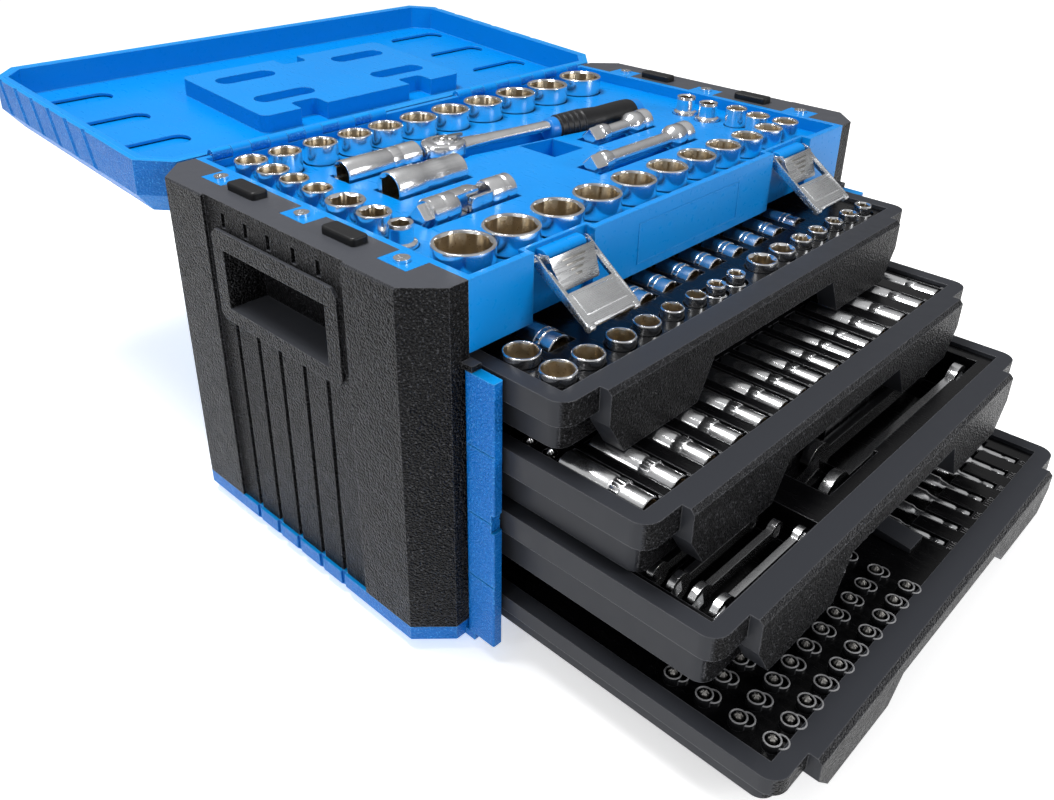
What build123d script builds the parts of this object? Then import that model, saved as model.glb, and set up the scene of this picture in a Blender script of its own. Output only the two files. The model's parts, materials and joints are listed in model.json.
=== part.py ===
from build123d import *
import math
import os

# Socket wrench set in a drawer case.  Millimetres, +Z up, -Y is the front.
# The origin is the centre of the underside of the base.  The set is drawn opened for use: the lid is
# laid back, the four drawers are pulled out in steps and both latches and both drawer locks are open.

os.makedirs("parts", exist_ok=True)

# ---------------------------------------------------------------- driving dimensions
CASE_WIDTH = 512.0
CASE_DEPTH = 294.8
FRONT = -CASE_DEPTH / 2
BACK = CASE_DEPTH / 2
CORNER = 22.0                # 45 degree bevel of the upright corners
BASE_HEIGHT = 20.0
CASE_TOP = 273.0             # top flange, level with the rim of the tool tray
TRAY_HALF = 219.2            # half width of the tool tray, inside the side shells
TRAY_BOTTOM = 225.5
WALL = 5.0

BAY_HALF = 216.2             # half width of the drawer bay between the two liners
RIM_HALF = 215.1             # half width of a drawer's rim
DRAWER_DEPTH = 285.0
DRAWER_TRAVEL = 230.4        # from shut to the stop

HINGE_Y = BACK - 1.4         # lid hinge axis, on the back wall of the tool tray
HINGE_Z = CASE_TOP
LID_OPEN_TILT = 3.9          # how far the opened lid still rises towards its far edge, degrees
LID_LENGTH = 286.2
LID_DEPTH = 46.0
LID_WELL = 24.0              # depth of the hollow inside the lid

INSERT_TOP = 263.0           # face of the blue insert in the tool tray
SOCKET_TOP = 278.6
SHEET = 3.0                  # thickness of the moulded inserts
CUP = 1.5                    # wall of a moulded well

LATCH_X = 136.5
LATCH_PIN = (FRONT + 3.4, 265.5)     # y and z of the latch pin
LEVER_REST = 56.0            # angle of the open latch lever from hanging straight down
PLATE_REST = 26.0

FLAP_AXIS = (221.5, FRONT - 4.6)     # x and y of the drawer lock's pin
FLAP_LOW = 13.7
FLAP_HIGH = 217.8


def save(piece, name):
    """Label a finished piece and write it as its own node."""
    piece.part.label = name
    export_step(piece.part, f"parts/{name}.step")


def block(x, y, z, mode=Mode.ADD):
    """A box between two limits along each axis, for use inside a part."""
    centre = ((x[0] + x[1]) / 2, (y[0] + y[1]) / 2, (z[0] + z[1]) / 2)
    with Locations(centre):
        Box(x[1] - x[0], y[1] - y[0], z[1] - z[0], mode=mode)


def rod(x, y, z, radius, length, axis="Z", mode=Mode.ADD):
    """A cylinder that starts at a point and runs along +X, +Y or +Z."""
    turn = {"X": (0, 90, 0), "Y": (-90, 0, 0), "Z": (0, 0, 0)}[axis]
    with Locations(Location((x, y, z), turn)):
        Cylinder(radius, length, align=(Align.CENTER, Align.CENTER, Align.MIN), mode=mode)


def mirrored(piece):
    """The right-hand twin of a left-hand piece."""
    with BuildPart() as twin:
        mirror(piece.part, about=Plane.YZ)
    return twin


# ---------------------------------------------------------------- base
RIB_GROOVES = [-51.0, -25.0, 3.0, 29.0, 56.0]      # grooves down each side
BASE_BEVEL = 9.0
BASE_FLOOR = 4.0

with BuildPart() as base:
    with BuildSketch() as base_plan:
        Rectangle(CASE_WIDTH, CASE_DEPTH)
        chamfer(base_plan.vertices(), CORNER)
    extrude(amount=BASE_HEIGHT)
    chamfer(base.faces().sort_by(Axis.Z)[0].edges(), BASE_BEVEL)
    block((-BAY_HALF, BAY_HALF), (FRONT + 12, BACK - 8), (BASE_FLOOR, BASE_HEIGHT + 1), Mode.SUBTRACT)
    for side in (-1, 1):
        for groove in RIB_GROOVES:
            with Locations((side * CASE_WIDTH / 2, groove, BASE_HEIGHT / 2)):
                Box(5, 5, BASE_HEIGHT + 1, mode=Mode.SUBTRACT)
        flap_foot = (side * FLAP_AXIS[0], FRONT - 3.6, 10.5)
        with Locations(flap_foot):
            Box(8, 9.6, 5.6)
        rod(side * FLAP_AXIS[0], FLAP_AXIS[1], 5, 1.5, 10, mode=Mode.SUBTRACT)
save(base, "base")

# ---------------------------------------------------------------- side shells
SHELL_WIDTH = CASE_WIDTH / 2 - TRAY_HALF
SHELL_X = -(CASE_WIDTH / 2 + TRAY_HALF) / 2
RIB_BAND = 78.0              # the ribbed band runs this far each way from the middle
BAND_DROP = 2.5
SHELL_WALL = 7.0
FLANGE = 5.0
TABS = [96.0, -1.0, -101.0]  # screw tabs of the tool tray along each flange
TAB_REACH = 236.8
TAB_WIDTH = 27.0
TAB_THICK = 3.5
HANDLE_LOW = 183.0
HANDLE_HIGH = 252.0
HANDLE_HALF = 70.0
CUP_LOW = 190.5
CUP_HIGH = 241.0
CUP_HALF = 60.2

with BuildPart() as side_shell_left:
    with BuildSketch(Plane.XY.offset(BASE_HEIGHT)) as shell_plan:
        with Locations((SHELL_X, 0)):
            Rectangle(SHELL_WIDTH, CASE_DEPTH)
        chamfer(shell_plan.vertices().group_by(Axis.X)[0], CORNER)
    extrude(amount=CASE_TOP - BASE_HEIGHT)
    chamfer(side_shell_left.faces().sort_by(Axis.Z)[-1].edges().sort_by(Axis.X)[0], 1.2)
    with BuildSketch(Plane.XY.offset(BASE_HEIGHT + FLANGE)) as hollow_plan:
        with Locations((SHELL_X + SHELL_WALL / 2, 0)):
            Rectangle(SHELL_WIDTH - SHELL_WALL, CASE_DEPTH - 2 * WALL)
        chamfer(hollow_plan.vertices().group_by(Axis.X)[0], CORNER - 3)
    extrude(amount=CASE_TOP - BASE_HEIGHT - 2 * FLANGE, mode=Mode.SUBTRACT)
    band_face = -CASE_WIDTH / 2 + BAND_DROP
    block((-CASE_WIDTH / 2 - 1, band_face), (-RIB_BAND, RIB_BAND), (0, CASE_TOP + 1), Mode.SUBTRACT)
    for groove in RIB_GROOVES:
        groove_span = (groove - 2.5, groove + 2.5)
        block((band_face - 1, band_face + 3), groove_span, (0, HANDLE_LOW - 2), Mode.SUBTRACT)
        block((band_face - 1, band_face + 3), groove_span, (HANDLE_HIGH + 2, CASE_TOP - 8), Mode.SUBTRACT)
    block((-300, -240), (-CUP_HALF, CUP_HALF), (CUP_LOW, CUP_HIGH), Mode.SUBTRACT)
    for tab in TABS:
        tab_span = (tab - TAB_WIDTH / 2, tab + TAB_WIDTH / 2)
        block((-TAB_REACH - 0.4, -TRAY_HALF), tab_span, (CASE_TOP - TAB_THICK, CASE_TOP + 1), Mode.SUBTRACT)
    flap_head = (-FLAP_AXIS[0], FRONT - 3.6, FLAP_HIGH + 2.3)
    with Locations(flap_head):
        Box(8, 9.6, 4)
    rod(-FLAP_AXIS[0], FLAP_AXIS[1], FLAP_HIGH - 1, 1.5, 4.5, mode=Mode.SUBTRACT)
side_shell_right = mirrored(side_shell_left)
save(side_shell_left, "side_shell_left")
save(side_shell_right, "side_shell_right")

# ---------------------------------------------------------------- carrying handles
with BuildPart() as handle_left:
    with BuildSketch(Plane.YZ.offset(-CASE_WIDTH / 2)) as frame_face:
        with Locations((0, (HANDLE_LOW + HANDLE_HIGH) / 2)):
            Rectangle(2 * HANDLE_HALF, HANDLE_HIGH - HANDLE_LOW)
        chamfer(frame_face.vertices(), 5)
    extrude(amount=BAND_DROP)
    block((band_face, -223), (-CUP_HALF, CUP_HALF), (CUP_LOW, CUP_HIGH))
    block((-257, -226), (-CUP_HALF + 2.7, CUP_HALF - 2.7), (CUP_LOW + 3, CUP_HIGH - 3), Mode.SUBTRACT)
handle_right = mirrored(handle_left)
save(handle_left, "handle_left")
save(handle_right, "handle_right")

# ---------------------------------------------------------------- drawers: driving dimensions
# name, rim top, underside, how far it is pulled out, underside of the front's lobes and of its middle band
DRAWERS = [
    ("drawer_1", 218.4, 179.5, 70.7, 170.5, 199.0),
    ("drawer_2", 168.8, 125.5, 133.0, 123.0, 150.0),
    ("drawer_3", 121.6, 76.5, 183.4, 74.0, 105.0),
    ("drawer_4", 52.0, 22.5, 230.4, 20.5, 37.0),
]
LEDGE = [17.0, 18.0, 17.0, 12.0]     # height of the wide upper part of each drawer
LOWER_HALF = 207.0           # half width of a drawer below its ledge
LOWER_SETBACK = 9.0          # its front and back below the ledge, behind the rim's

# ---------------------------------------------------------------- bay liners with the drawer runners
with BuildPart() as runner_wall_left:
    block((-TRAY_HALF, -BAY_HALF), (FRONT + WALL, BACK - WALL), (BASE_HEIGHT, TRAY_BOTTOM))
    for drawer, ledge in zip(DRAWERS, LEDGE):
        runner_top = drawer[1] - ledge - 0.4
        block((-BAY_HALF, -LOWER_HALF - 0.8), (FRONT + 6, BACK - 12), (runner_top - 5, runner_top))
runner_wall_right = mirrored(runner_wall_left)
save(runner_wall_left, "runner_wall_left")
save(runner_wall_right, "runner_wall_right")

with BuildPart() as back_panel:
    block((-TRAY_HALF, TRAY_HALF), (BACK - WALL, BACK), (BASE_HEIGHT, TRAY_BOTTOM))
save(back_panel, "back_panel")

# ---------------------------------------------------------------- tool tray
TRAY_FLOOR = 239.5
TRAY_INSIDE = (-TRAY_HALF + WALL, TRAY_HALF - WALL)
RECESS_HALF = 28.5           # latch recess in the front wall
RECESS_DEPTH = 8.0
RECESS_WALL = 2.4
BAR_RADIUS = 5.0
BAR_HALF = 18.5
HINGE_START = 42.0
KNUCKLE = 16.6
KNUCKLES = 10
KNUCKLE_RADIUS = 4.5
PIN_RADIUS = 1.5


def knuckle_starts(first):
    """Start of every second knuckle of the two hinge runs, along X."""
    starts = []
    for index in range(first, KNUCKLES, 2):
        start = HINGE_START + index * KNUCKLE
        starts.append(start)
        starts.append(-start - KNUCKLE)
    return starts


with BuildPart() as top_tray:
    block((-TRAY_HALF, TRAY_HALF), (FRONT, BACK), (TRAY_BOTTOM, CASE_TOP))
    block(TRAY_INSIDE, (FRONT + WALL, BACK - WALL), (TRAY_FLOOR, CASE_TOP + 1), Mode.SUBTRACT)
    block(TRAY_INSIDE, (FRONT + WALL, BACK - WALL), (0, TRAY_FLOOR - SHEET), Mode.SUBTRACT)
    for side in (-1, 1):
        near = side * LATCH_X - RECESS_HALF
        far = side * LATCH_X + RECESS_HALF
        back_wall = FRONT + RECESS_DEPTH
        block((near - 3, far + 3), (FRONT + 1, back_wall + RECESS_WALL), (TRAY_BOTTOM, CASE_TOP))
        block((near, far), (FRONT - 1, back_wall), (0, CASE_TOP + 1), Mode.SUBTRACT)
        bar_start = side * LATCH_X - BAR_HALF
        rod(bar_start, *LATCH_PIN, BAR_RADIUS, 2 * BAR_HALF, "X")
        block((bar_start, bar_start + 2 * BAR_HALF), (LATCH_PIN[0], back_wall + 1),
              (LATCH_PIN[1] - 4, LATCH_PIN[1] + BAR_RADIUS))
        rod(near - 2, *LATCH_PIN, PIN_RADIUS, 2 * RECESS_HALF + 4, "X", Mode.SUBTRACT)
        for tab in TABS:
            tab_start = TRAY_HALF - 1 if side > 0 else -TAB_REACH
            tab_end = TAB_REACH if side > 0 else -TRAY_HALF + 1
            tab_span = (tab - TAB_WIDTH / 2 + 0.3, tab + TAB_WIDTH / 2 - 0.3)
            block((tab_start, tab_end), tab_span, (CASE_TOP - TAB_THICK, CASE_TOP))
    for start in knuckle_starts(0):
        rod(start + 0.2, HINGE_Y, HINGE_Z, KNUCKLE_RADIUS, KNUCKLE - 0.4, "X")
    for start in knuckle_starts(1):
        rod(start, HINGE_Y, HINGE_Z, KNUCKLE_RADIUS + 0.5, KNUCKLE, "X", Mode.SUBTRACT)
    for side in (-1, 1):
        run_start = HINGE_START if side > 0 else -HINGE_START - KNUCKLES * KNUCKLE
        rod(run_start, HINGE_Y, HINGE_Z, PIN_RADIUS, KNUCKLES * KNUCKLE, "X", Mode.SUBTRACT)
save(top_tray, "top_tray")

with BuildPart() as hinge_pins:
    for side in (-1, 1):
        run_start = HINGE_START if side > 0 else -HINGE_START - KNUCKLES * KNUCKLE
        rod(run_start, HINGE_Y, HINGE_Z, PIN_RADIUS, KNUCKLES * KNUCKLE, "X")
save(hinge_pins, "hinge_pins")

with BuildPart() as latch_pins:
    for side in (-1, 1):
        rod(side * LATCH_X - RECESS_HALF - 2, *LATCH_PIN, PIN_RADIUS, 2 * RECESS_HALF + 4, "X")
save(latch_pins, "latch_pins")

with BuildPart() as tray_screws:
    for side in (-1, 1):
        for tab in TABS:
            rod(side * 228.7, tab, CASE_TOP, 5.2, 2.2)
            with BuildSketch(Plane.XY.offset(CASE_TOP + 2.2)):
                with Locations((side * 228.7, tab)):
                    Rectangle(7, 1.2)
                    Rectangle(1.2, 7)
            extrude(amount=-1.2, mode=Mode.SUBTRACT)
save(tray_screws, "tray_screws")

BUFFERS = [58.0, -50.0]
with BuildPart() as lid_buffers:
    for side in (-1, 1):
        for buffer in BUFFERS:
            with BuildSketch(Plane.XY.offset(CASE_TOP)):
                with Locations((side * 231.5, buffer)):
                    RectangleRounded(13, 33, 3)
            extrude(amount=5.5)
    fillet(lid_buffers.faces().filter_by(Axis.Z).group_by(Axis.Z)[-1].edges(), 1.5)
save(lid_buffers, "lid_buffers")

# ---------------------------------------------------------------- draw latches
LEVER_HALF = 24.6
LEVER_REACH = 54.0
LEVER_STRIP = 1.4
WINDOW_END = 29.0
PLATE_OFFSET = 7.6


def latch_plane(side, angle):
    """Plane of a latch piece: +X along the pin, +Y out of the case, +Z up, turned about the pin."""
    swing = math.radians(angle)
    normal = (0, -math.sin(swing), -math.cos(swing))
    return Plane(origin=(side * LATCH_X, *LATCH_PIN), x_dir=(1, 0, 0), z_dir=normal)


def latch_lever(side):
    """Steel lever: two side strips from the pin to a wide thumb plate with a rolled lip."""
    with BuildPart(latch_plane(side, LEVER_REST)) as lever:
        for edge in (-1, 1):
            with Locations((edge * (LEVER_HALF - LEVER_STRIP / 2), 0, LEVER_REACH / 2 - 2)):
                Box(LEVER_STRIP, 6, LEVER_REACH + 1)
            with Locations(Location((edge * (LEVER_HALF - LEVER_STRIP / 2), 0, 0), (0, 90, 0))):
                Cylinder(3.6, LEVER_STRIP)
        with Locations((0, 0.6, (WINDOW_END + LEVER_REACH) / 2)):
            Box(2 * LEVER_HALF, 1.6, LEVER_REACH - WINDOW_END)
        with Locations(Location((0, -1.2, LEVER_REACH - 1), (0, 90, 0))):
            Cylinder(2.2, 2 * LEVER_HALF)
        with Locations(Location((0, 0, 0), (0, 90, 0))):
            Cylinder(PIN_RADIUS + 0.06, 3 * LEVER_HALF, mode=Mode.SUBTRACT)
    return lever


def latch_plate(side):
    """Spring plate that hangs in the lever's window, with two ears round the ends of the bar."""
    with BuildPart(latch_plane(side, PLATE_REST)) as plate:
        for edge in (-1, 1):
            ear_x = edge * (BAR_HALF + 1.4)
            with Locations((ear_x, PLATE_OFFSET / 2, 1.5)):
                Box(1.2, PLATE_OFFSET + 3, 5.4)
            with Locations(Location((ear_x, 0, 0), (0, 90, 0))):
                Cylinder(3, 1.2)
        with Locations((0, PLATE_OFFSET + 0.5, 12.5)):
            Box(2 * BAR_HALF + 4, 1.0, 22)
        with Locations(Location((0, 0, 0), (0, 90, 0))):
            Cylinder(PIN_RADIUS + 0.06, 3 * BAR_HALF, mode=Mode.SUBTRACT)
    return plate


for side, name in ((-1, "left"), (1, "right")):
    save(latch_lever(side), f"latch_lever_{name}")
    save(latch_plate(side), f"latch_plate_{name}")

# ---------------------------------------------------------------- drawer locks
FLAP_THICK = 8.0
FLAP_REACH = 22.0            # from the pin to the free edge
FLAP_GROOVES = [65.0, 116.0, 167.0]
FLAP_PIN_LOW = 9.0


def lock_flap(side):
    """Upright bar hinged at the front corner; it swings across the drawer fronts when shut."""
    axis_x = side * FLAP_AXIS[0]
    with BuildPart() as flap:
        rod(axis_x, FLAP_AXIS[1], FLAP_LOW, FLAP_THICK / 2, FLAP_HIGH - FLAP_LOW)
        block((axis_x - FLAP_THICK / 2, axis_x + FLAP_THICK / 2),
              (FLAP_AXIS[1] - FLAP_REACH, FLAP_AXIS[1]), (FLAP_LOW, FLAP_HIGH))
        fillet(flap.edges().filter_by(Axis.Z).group_by(Axis.Y)[0], 1.5)
        for groove in FLAP_GROOVES:
            for face in (-1, 1):
                with Locations((axis_x + face * FLAP_THICK / 2, FLAP_AXIS[1] - FLAP_REACH / 2, groove)):
                    Box(1.6, FLAP_REACH + 1, 1.6, mode=Mode.SUBTRACT)
        notch_y = FLAP_AXIS[1] - FLAP_REACH
        with Locations((axis_x, notch_y, (FLAP_LOW + FLAP_HIGH) / 2)):
            Box(FLAP_THICK + 1, 5, 14, mode=Mode.SUBTRACT)
        rod(axis_x, FLAP_AXIS[1], FLAP_LOW - 1, PIN_RADIUS + 0.08, FLAP_HIGH - FLAP_LOW + 2,
            mode=Mode.SUBTRACT)
    return flap


for side, name in ((-1, "left"), (1, "right")):
    save(lock_flap(side), f"lock_flap_{name}")

with BuildPart() as flap_pins:
    for side in (-1, 1):
        rod(side * FLAP_AXIS[0], FLAP_AXIS[1], FLAP_PIN_LOW, PIN_RADIUS, FLAP_HIGH + 3 - FLAP_PIN_LOW)
save(flap_pins, "flap_pins")

# ---------------------------------------------------------------- lid, drawn open about the hinge axis
LID_NEAR = 4.8               # from the hinge axis to the lid's near edge
LID_FAR = LID_NEAR + LID_LENGTH
LID_SKIN = 4.0
LID_RIM = 9.0
LID_GAP = 0.4                # between the shut lid and the tray
tilt = math.radians(LID_OPEN_TILT)
lid_plane = Plane(origin=(0, HINGE_Y, HINGE_Z), x_dir=(1, 0, 0),
                  z_dir=(0, -math.sin(tilt), math.cos(tilt)))
LID_MIDDLE = (LID_NEAR + LID_FAR) / 2


def lid_outline(depth, inset):
    """Bevelled rectangle of the lid at a depth under its rim, set in from the outer wall."""
    with BuildSketch(lid_plane.offset(-depth)) as outline:
        with Locations((0, LID_MIDDLE)):
            Rectangle(CASE_WIDTH - 2 * inset, LID_LENGTH - 2 * inset)
        chamfer(outline.vertices(), CORNER - inset * 0.6)
    return outline.sketch


def lid_knuckles(first, radius, length, mode):
    """Hinge knuckles along the lid's own hinge axis."""
    for start in knuckle_starts(first):
        with Locations(Location((start + KNUCKLE / 2, 0, 0), (0, 90, 0))):
            Cylinder(radius, length, mode=mode)


with BuildPart(lid_plane) as lid_shell:
    extrude(lid_outline(0.4, 0), amount=-LID_DEPTH + 18)
    extrude(lid_outline(LID_DEPTH - 17.6, 0), amount=-18, taper=38)
    extrude(lid_outline(0.3, LID_SKIN), amount=-LID_DEPTH + 18, mode=Mode.SUBTRACT)
    extrude(lid_outline(LID_DEPTH - 17.7, LID_SKIN), amount=-14, taper=38, mode=Mode.SUBTRACT)
    lid_knuckles(0, KNUCKLE_RADIUS + 0.5, KNUCKLE, Mode.SUBTRACT)
    for side in (-1, 1):
        with Locations((side * LATCH_X, LID_FAR, -6)):
            Box(30, 8, 7)
    lid_knuckles(1, KNUCKLE_RADIUS, KNUCKLE - 0.4, Mode.ADD)
    for start in knuckle_starts(1):
        with Locations((start + KNUCKLE / 2, (LID_NEAR + 2) / 2, -LID_GAP - 2)):
            Box(KNUCKLE - 0.4, LID_NEAR + 2, 4)
    lid_knuckles(1, PIN_RADIUS + 0.08, KNUCKLE, Mode.SUBTRACT)
save(lid_shell, "lid_shell")

LINER_SHEET = 2.5
PLATFORM_WIDTH = 230.0
PLATFORM_LENGTH = 136.0
PLATFORM_MIDDLE = 140.0      # from the hinge axis
PLATFORM_DROP = 8.0          # its face lies this far under the rim
SLOT_X = 204.0
END_SLOTS = [104.0, 172.0, 241.0]
with BuildPart(lid_plane) as lid_liner:
    extrude(lid_outline(0.4, LID_SKIN), amount=-LID_WELL - LINER_SHEET)
    extrude(lid_outline(0.3, LID_RIM), amount=-LID_WELL - 0.1, mode=Mode.SUBTRACT)
    extrude(lid_outline(3.4, LID_SKIN - 1) - lid_outline(3.4, LID_RIM - LINER_SHEET),
            amount=-LID_WELL - 10, mode=Mode.SUBTRACT)
    with BuildSketch(lid_plane.offset(-LID_WELL - 0.5)) as platform:
        with Locations((0, PLATFORM_MIDDLE)):
            RectangleRounded(PLATFORM_WIDTH, PLATFORM_LENGTH, 8)
            with Locations((-62, -PLATFORM_LENGTH / 2), (62, -PLATFORM_LENGTH / 2), (0, PLATFORM_LENGTH / 2)):
                RectangleRounded(28, 36, 5, mode=Mode.SUBTRACT)
    extrude(amount=LID_WELL - PLATFORM_DROP)
    with BuildSketch(lid_plane.offset(-PLATFORM_DROP + 1)):
        for slot_y in (PLATFORM_MIDDLE - 28, PLATFORM_MIDDLE + 36):
            with Locations((-66, slot_y), (66, slot_y)):
                SlotOverall(62, 20)
    extrude(amount=-9, mode=Mode.SUBTRACT)
    with BuildSketch(lid_plane.offset(-LID_WELL + 1)):
        for slot_y in END_SLOTS:
            with Locations((-SLOT_X, slot_y), (SLOT_X, slot_y)):
                SlotOverall(72, 22)
    extrude(amount=-LINER_SHEET - 2, mode=Mode.SUBTRACT)
save(lid_liner, "lid_liner")

# ---------------------------------------------------------------- drawers
PANEL_HALF = 184.0           # half width of the textured drawer front
PANEL_AHEAD = 8.8            # the front stands this far ahead of the rim
LOBE_INNER = 78.0            # the finger scoop lies between the two lobes
LOBE_TAPER = 15.0
INSERT_DROP = 3.0            # the insert lies this far under the rim
RIM_WIDTH = 12.0
TRAY_SKIN = 3.0


def rim_front(drawer):
    """Y of the front edge of a drawer's rim, where it stands."""
    return FRONT - drawer[3]


def drawer_tray(drawer, ledge):
    """Drawer body: wide upper part with its rim, narrower lower part, and the lobed front."""
    rim_top, underside, lobe_low, band_low = drawer[1], drawer[2], drawer[4], drawer[5]
    front = rim_front(drawer)
    rear = front + DRAWER_DEPTH
    middle = (front + rear) / 2
    ledge_z = rim_top - ledge
    with BuildPart() as tray:
        with BuildSketch(Plane.XY.offset(ledge_z)):
            with Locations((0, middle)):
                RectangleRounded(2 * RIM_HALF, DRAWER_DEPTH, 12)
        extrude(amount=ledge)
        with BuildSketch(Plane.XY.offset(underside)):
            with Locations((0, middle)):
                RectangleRounded(2 * LOWER_HALF, DRAWER_DEPTH - 2 * LOWER_SETBACK, 10)
        extrude(amount=ledge_z - underside)
        with BuildSketch(Plane.XZ.offset(-front - 7)) as face:
            with BuildLine():
                Polyline(
                    (-PANEL_HALF, rim_top), (-PANEL_HALF, (rim_top + lobe_low) / 2),
                    (-PANEL_HALF + LOBE_TAPER, lobe_low), (-LOBE_INNER - LOBE_TAPER, lobe_low),
                    (-LOBE_INNER, band_low), (LOBE_INNER, band_low),
                    (LOBE_INNER + LOBE_TAPER, lobe_low), (PANEL_HALF - LOBE_TAPER, lobe_low),
                    (PANEL_HALF, (rim_top + lobe_low) / 2), (PANEL_HALF, rim_top), close=True)
            make_face()
        extrude(amount=PANEL_AHEAD + 7)
        top_edge = tray.edges().filter_by(Axis.X).group_by(Axis.Y)[0].sort_by(Axis.Z)[-1]
        chamfer(top_edge, 3)
        block((-RIM_HALF + RIM_WIDTH, RIM_HALF - RIM_WIDTH), (front + RIM_WIDTH, rear - RIM_WIDTH),
              (ledge_z, rim_top + 1), Mode.SUBTRACT)
        block((-LOWER_HALF + TRAY_SKIN, LOWER_HALF - TRAY_SKIN), (front + RIM_WIDTH, rear - RIM_WIDTH),
              (underside + TRAY_SKIN, ledge_z + 1), Mode.SUBTRACT)
    return tray


def moulded_insert(limits, face_z, wells, pockets):
    """Thin sheet with cups for upright tools and troughs for lying ones, open underneath."""
    x, y = limits
    with BuildPart() as insert:
        block(x, y, (face_z - SHEET, face_z))
        for well_x, well_y, radius, floor in wells:
            rod(well_x, well_y, floor, radius + CUP, face_z - floor)
        for across, along, floor in pockets:
            block((across[0] - CUP, across[1] + CUP), (along[0] - CUP, along[1] + CUP), (floor, face_z))
        for well_x, well_y, radius, floor in wells:
            rod(well_x, well_y, floor + CUP, radius, face_z, mode=Mode.SUBTRACT)
        for across, along, floor in pockets:
            block(across, along, (floor + CUP, face_z + 1), Mode.SUBTRACT)
        block(x, y, (0, face_z), Mode.INTERSECT)
    return insert


# ---------------------------------------------------------------- tools
def socket(diameter, height, star=False, neck=0):
    """Upright socket, open end up: hexagon or star mouth, square drive hole, optional thinner neck."""
    mouth = (neck or diameter) * 0.42
    with BuildPart() as tool:
        Cylinder(diameter / 2, height, align=(Align.CENTER, Align.CENTER, Align.MIN))
        if neck:
            with BuildSketch(Plane.XY.offset(height * 0.4)):
                Circle(diameter / 2 + 1)
                Circle(neck / 2, mode=Mode.SUBTRACT)
            extrude(amount=height, mode=Mode.SUBTRACT)
        chamfer(tool.edges().group_by(Axis.Z)[-1], 0.6)
        with BuildSketch(Plane.XY.offset(height)):
            if star:
                RegularPolygon(mouth, 3)
                RegularPolygon(mouth, 3, rotation=180)
            else:
                RegularPolygon(mouth, 6)
        extrude(amount=-height * 0.55, mode=Mode.SUBTRACT)
        drive = min(12.7, diameter * 0.5)
        with BuildSketch():
            Rectangle(drive, drive)
        extrude(amount=height * 0.35, mode=Mode.SUBTRACT)
    return tool.part


def upright_row(tools, top):
    """Row of standing sockets that all end at one height: (x, y, diameter, height, star, neck)."""
    with BuildPart() as row:
        for x, y, diameter, height, star, neck in tools:
            with Locations((x, y, top - height)):
                add(socket(diameter, height, star, neck))
    return row


TRAY_SOCKET = SOCKET_TOP - TRAY_FLOOR - CUP      # height of a socket in the tool tray
REAR_Y = 104.0
REAR_ROW = [(-199, 24.4), (-170, 25), (-138, 26.7), (-105, 27.2), (-74, 28.4), (-39, 31.2), (-3, 32.9),
            (36, 34.3), (77, 36), (120, 38), (167, 40)]
FRONT_Y = -115.5
FRONT_ROW = [(-193, 40.3), (-152, 38.1), (-109, 36), (-68.6, 34.6), (-28.5, 33.1), (11, 31), (48.5, 29.9),
             (84.5, 27.7), (118.5, 25.6), (151, 23.2), (178, 21.8)]
LEFT_X = -199.5
LEFT_COLUMN = [(75, 23.5), (49, 21), (22, 21), (-9, 27.2), (-38.7, 23.4)]
RIGHT_COLUMN = [(176, -90, 20.3), (181.7, -65, 18.4)]
ADAPTERS = [(-199.5, -65, 22), (178, -38, 22), (181, -12, 22)]
NECK = 15.0

rear_tools = [(x, REAR_Y, d, TRAY_SOCKET, False, 0) for x, d in REAR_ROW]
front_tools = [(x, FRONT_Y, d, TRAY_SOCKET, False, 0) for x, d in FRONT_ROW]
left_tools = [(LEFT_X, y, d, TRAY_SOCKET, y < 0, 0) for y, d in LEFT_COLUMN]
right_tools = [(x, y, d, TRAY_SOCKET, False, 0) for x, y, d in RIGHT_COLUMN]
adapter_tools = [(x, y, d, TRAY_SOCKET, False, NECK) for x, y, d in ADAPTERS]

for tools, name in (
    (rear_tools, "sockets_rear_row"),
    (front_tools, "sockets_front_row"),
    (left_tools, "sockets_left_column"),
    (right_tools + adapter_tools, "sockets_right_column"),
):
    save(upright_row(tools, SOCKET_TOP), name)


def lying_drive(part_start, y, z, size, depth, sides, mode):
    """Square or hexagon along X: cut as a mouth or added as a drive square."""
    with BuildSketch(Plane(origin=(part_start, y, z), x_dir=(0, 1, 0), z_dir=(1, 0, 0))) as drive:
        RegularPolygon(size, sides)
    extrude(drive.sketch, amount=depth, mode=mode)


LYING_Z = 266.5
with BuildPart() as spark_plug_socket_large:
    rod(-148, 10.3, LYING_Z, 12.5, 67, "X")
    rod(-148, 10.3, LYING_Z, 13.2, 26, "X")
    lying_drive(-148.01, 10.3, LYING_Z, 11.0, 30, 6, Mode.SUBTRACT)
save(spark_plug_socket_large, "spark_plug_socket_large")

with BuildPart() as spark_plug_socket_small:
    rod(-152.5, 59.4, LYING_Z, 10.6, 71, "X")
    lying_drive(-152.51, 59.4, LYING_Z, 9.2, 32, 6, Mode.SUBTRACT)
save(spark_plug_socket_small, "spark_plug_socket_small")

JOINT_Y = -44.0
JOINT_X = -122.0             # centre of the universal joint's cross
with BuildPart() as joint_drive_end:
    rod(-161, JOINT_Y, LYING_Z, 11, 24, "X")
    lying_drive(-168, JOINT_Y, LYING_Z, 8.9, 8, 4, Mode.ADD)
    for edge in (-1, 1):
        with Locations((JOINT_X - 10, JOINT_Y, LYING_Z + edge * 8)):
            Box(34, 12, 4)
        rod(JOINT_X, JOINT_Y, LYING_Z - 11, 2.6, 22, mode=Mode.SUBTRACT)
save(joint_drive_end, "joint_drive_end")

with BuildPart() as joint_cross:
    with Locations((JOINT_X, JOINT_Y, LYING_Z)):
        Box(10, 10, 11)
        Cylinder(2.5, 20)
        Cylinder(2.5, 20, rotation=(90, 0, 0))
save(joint_cross, "joint_cross")

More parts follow.
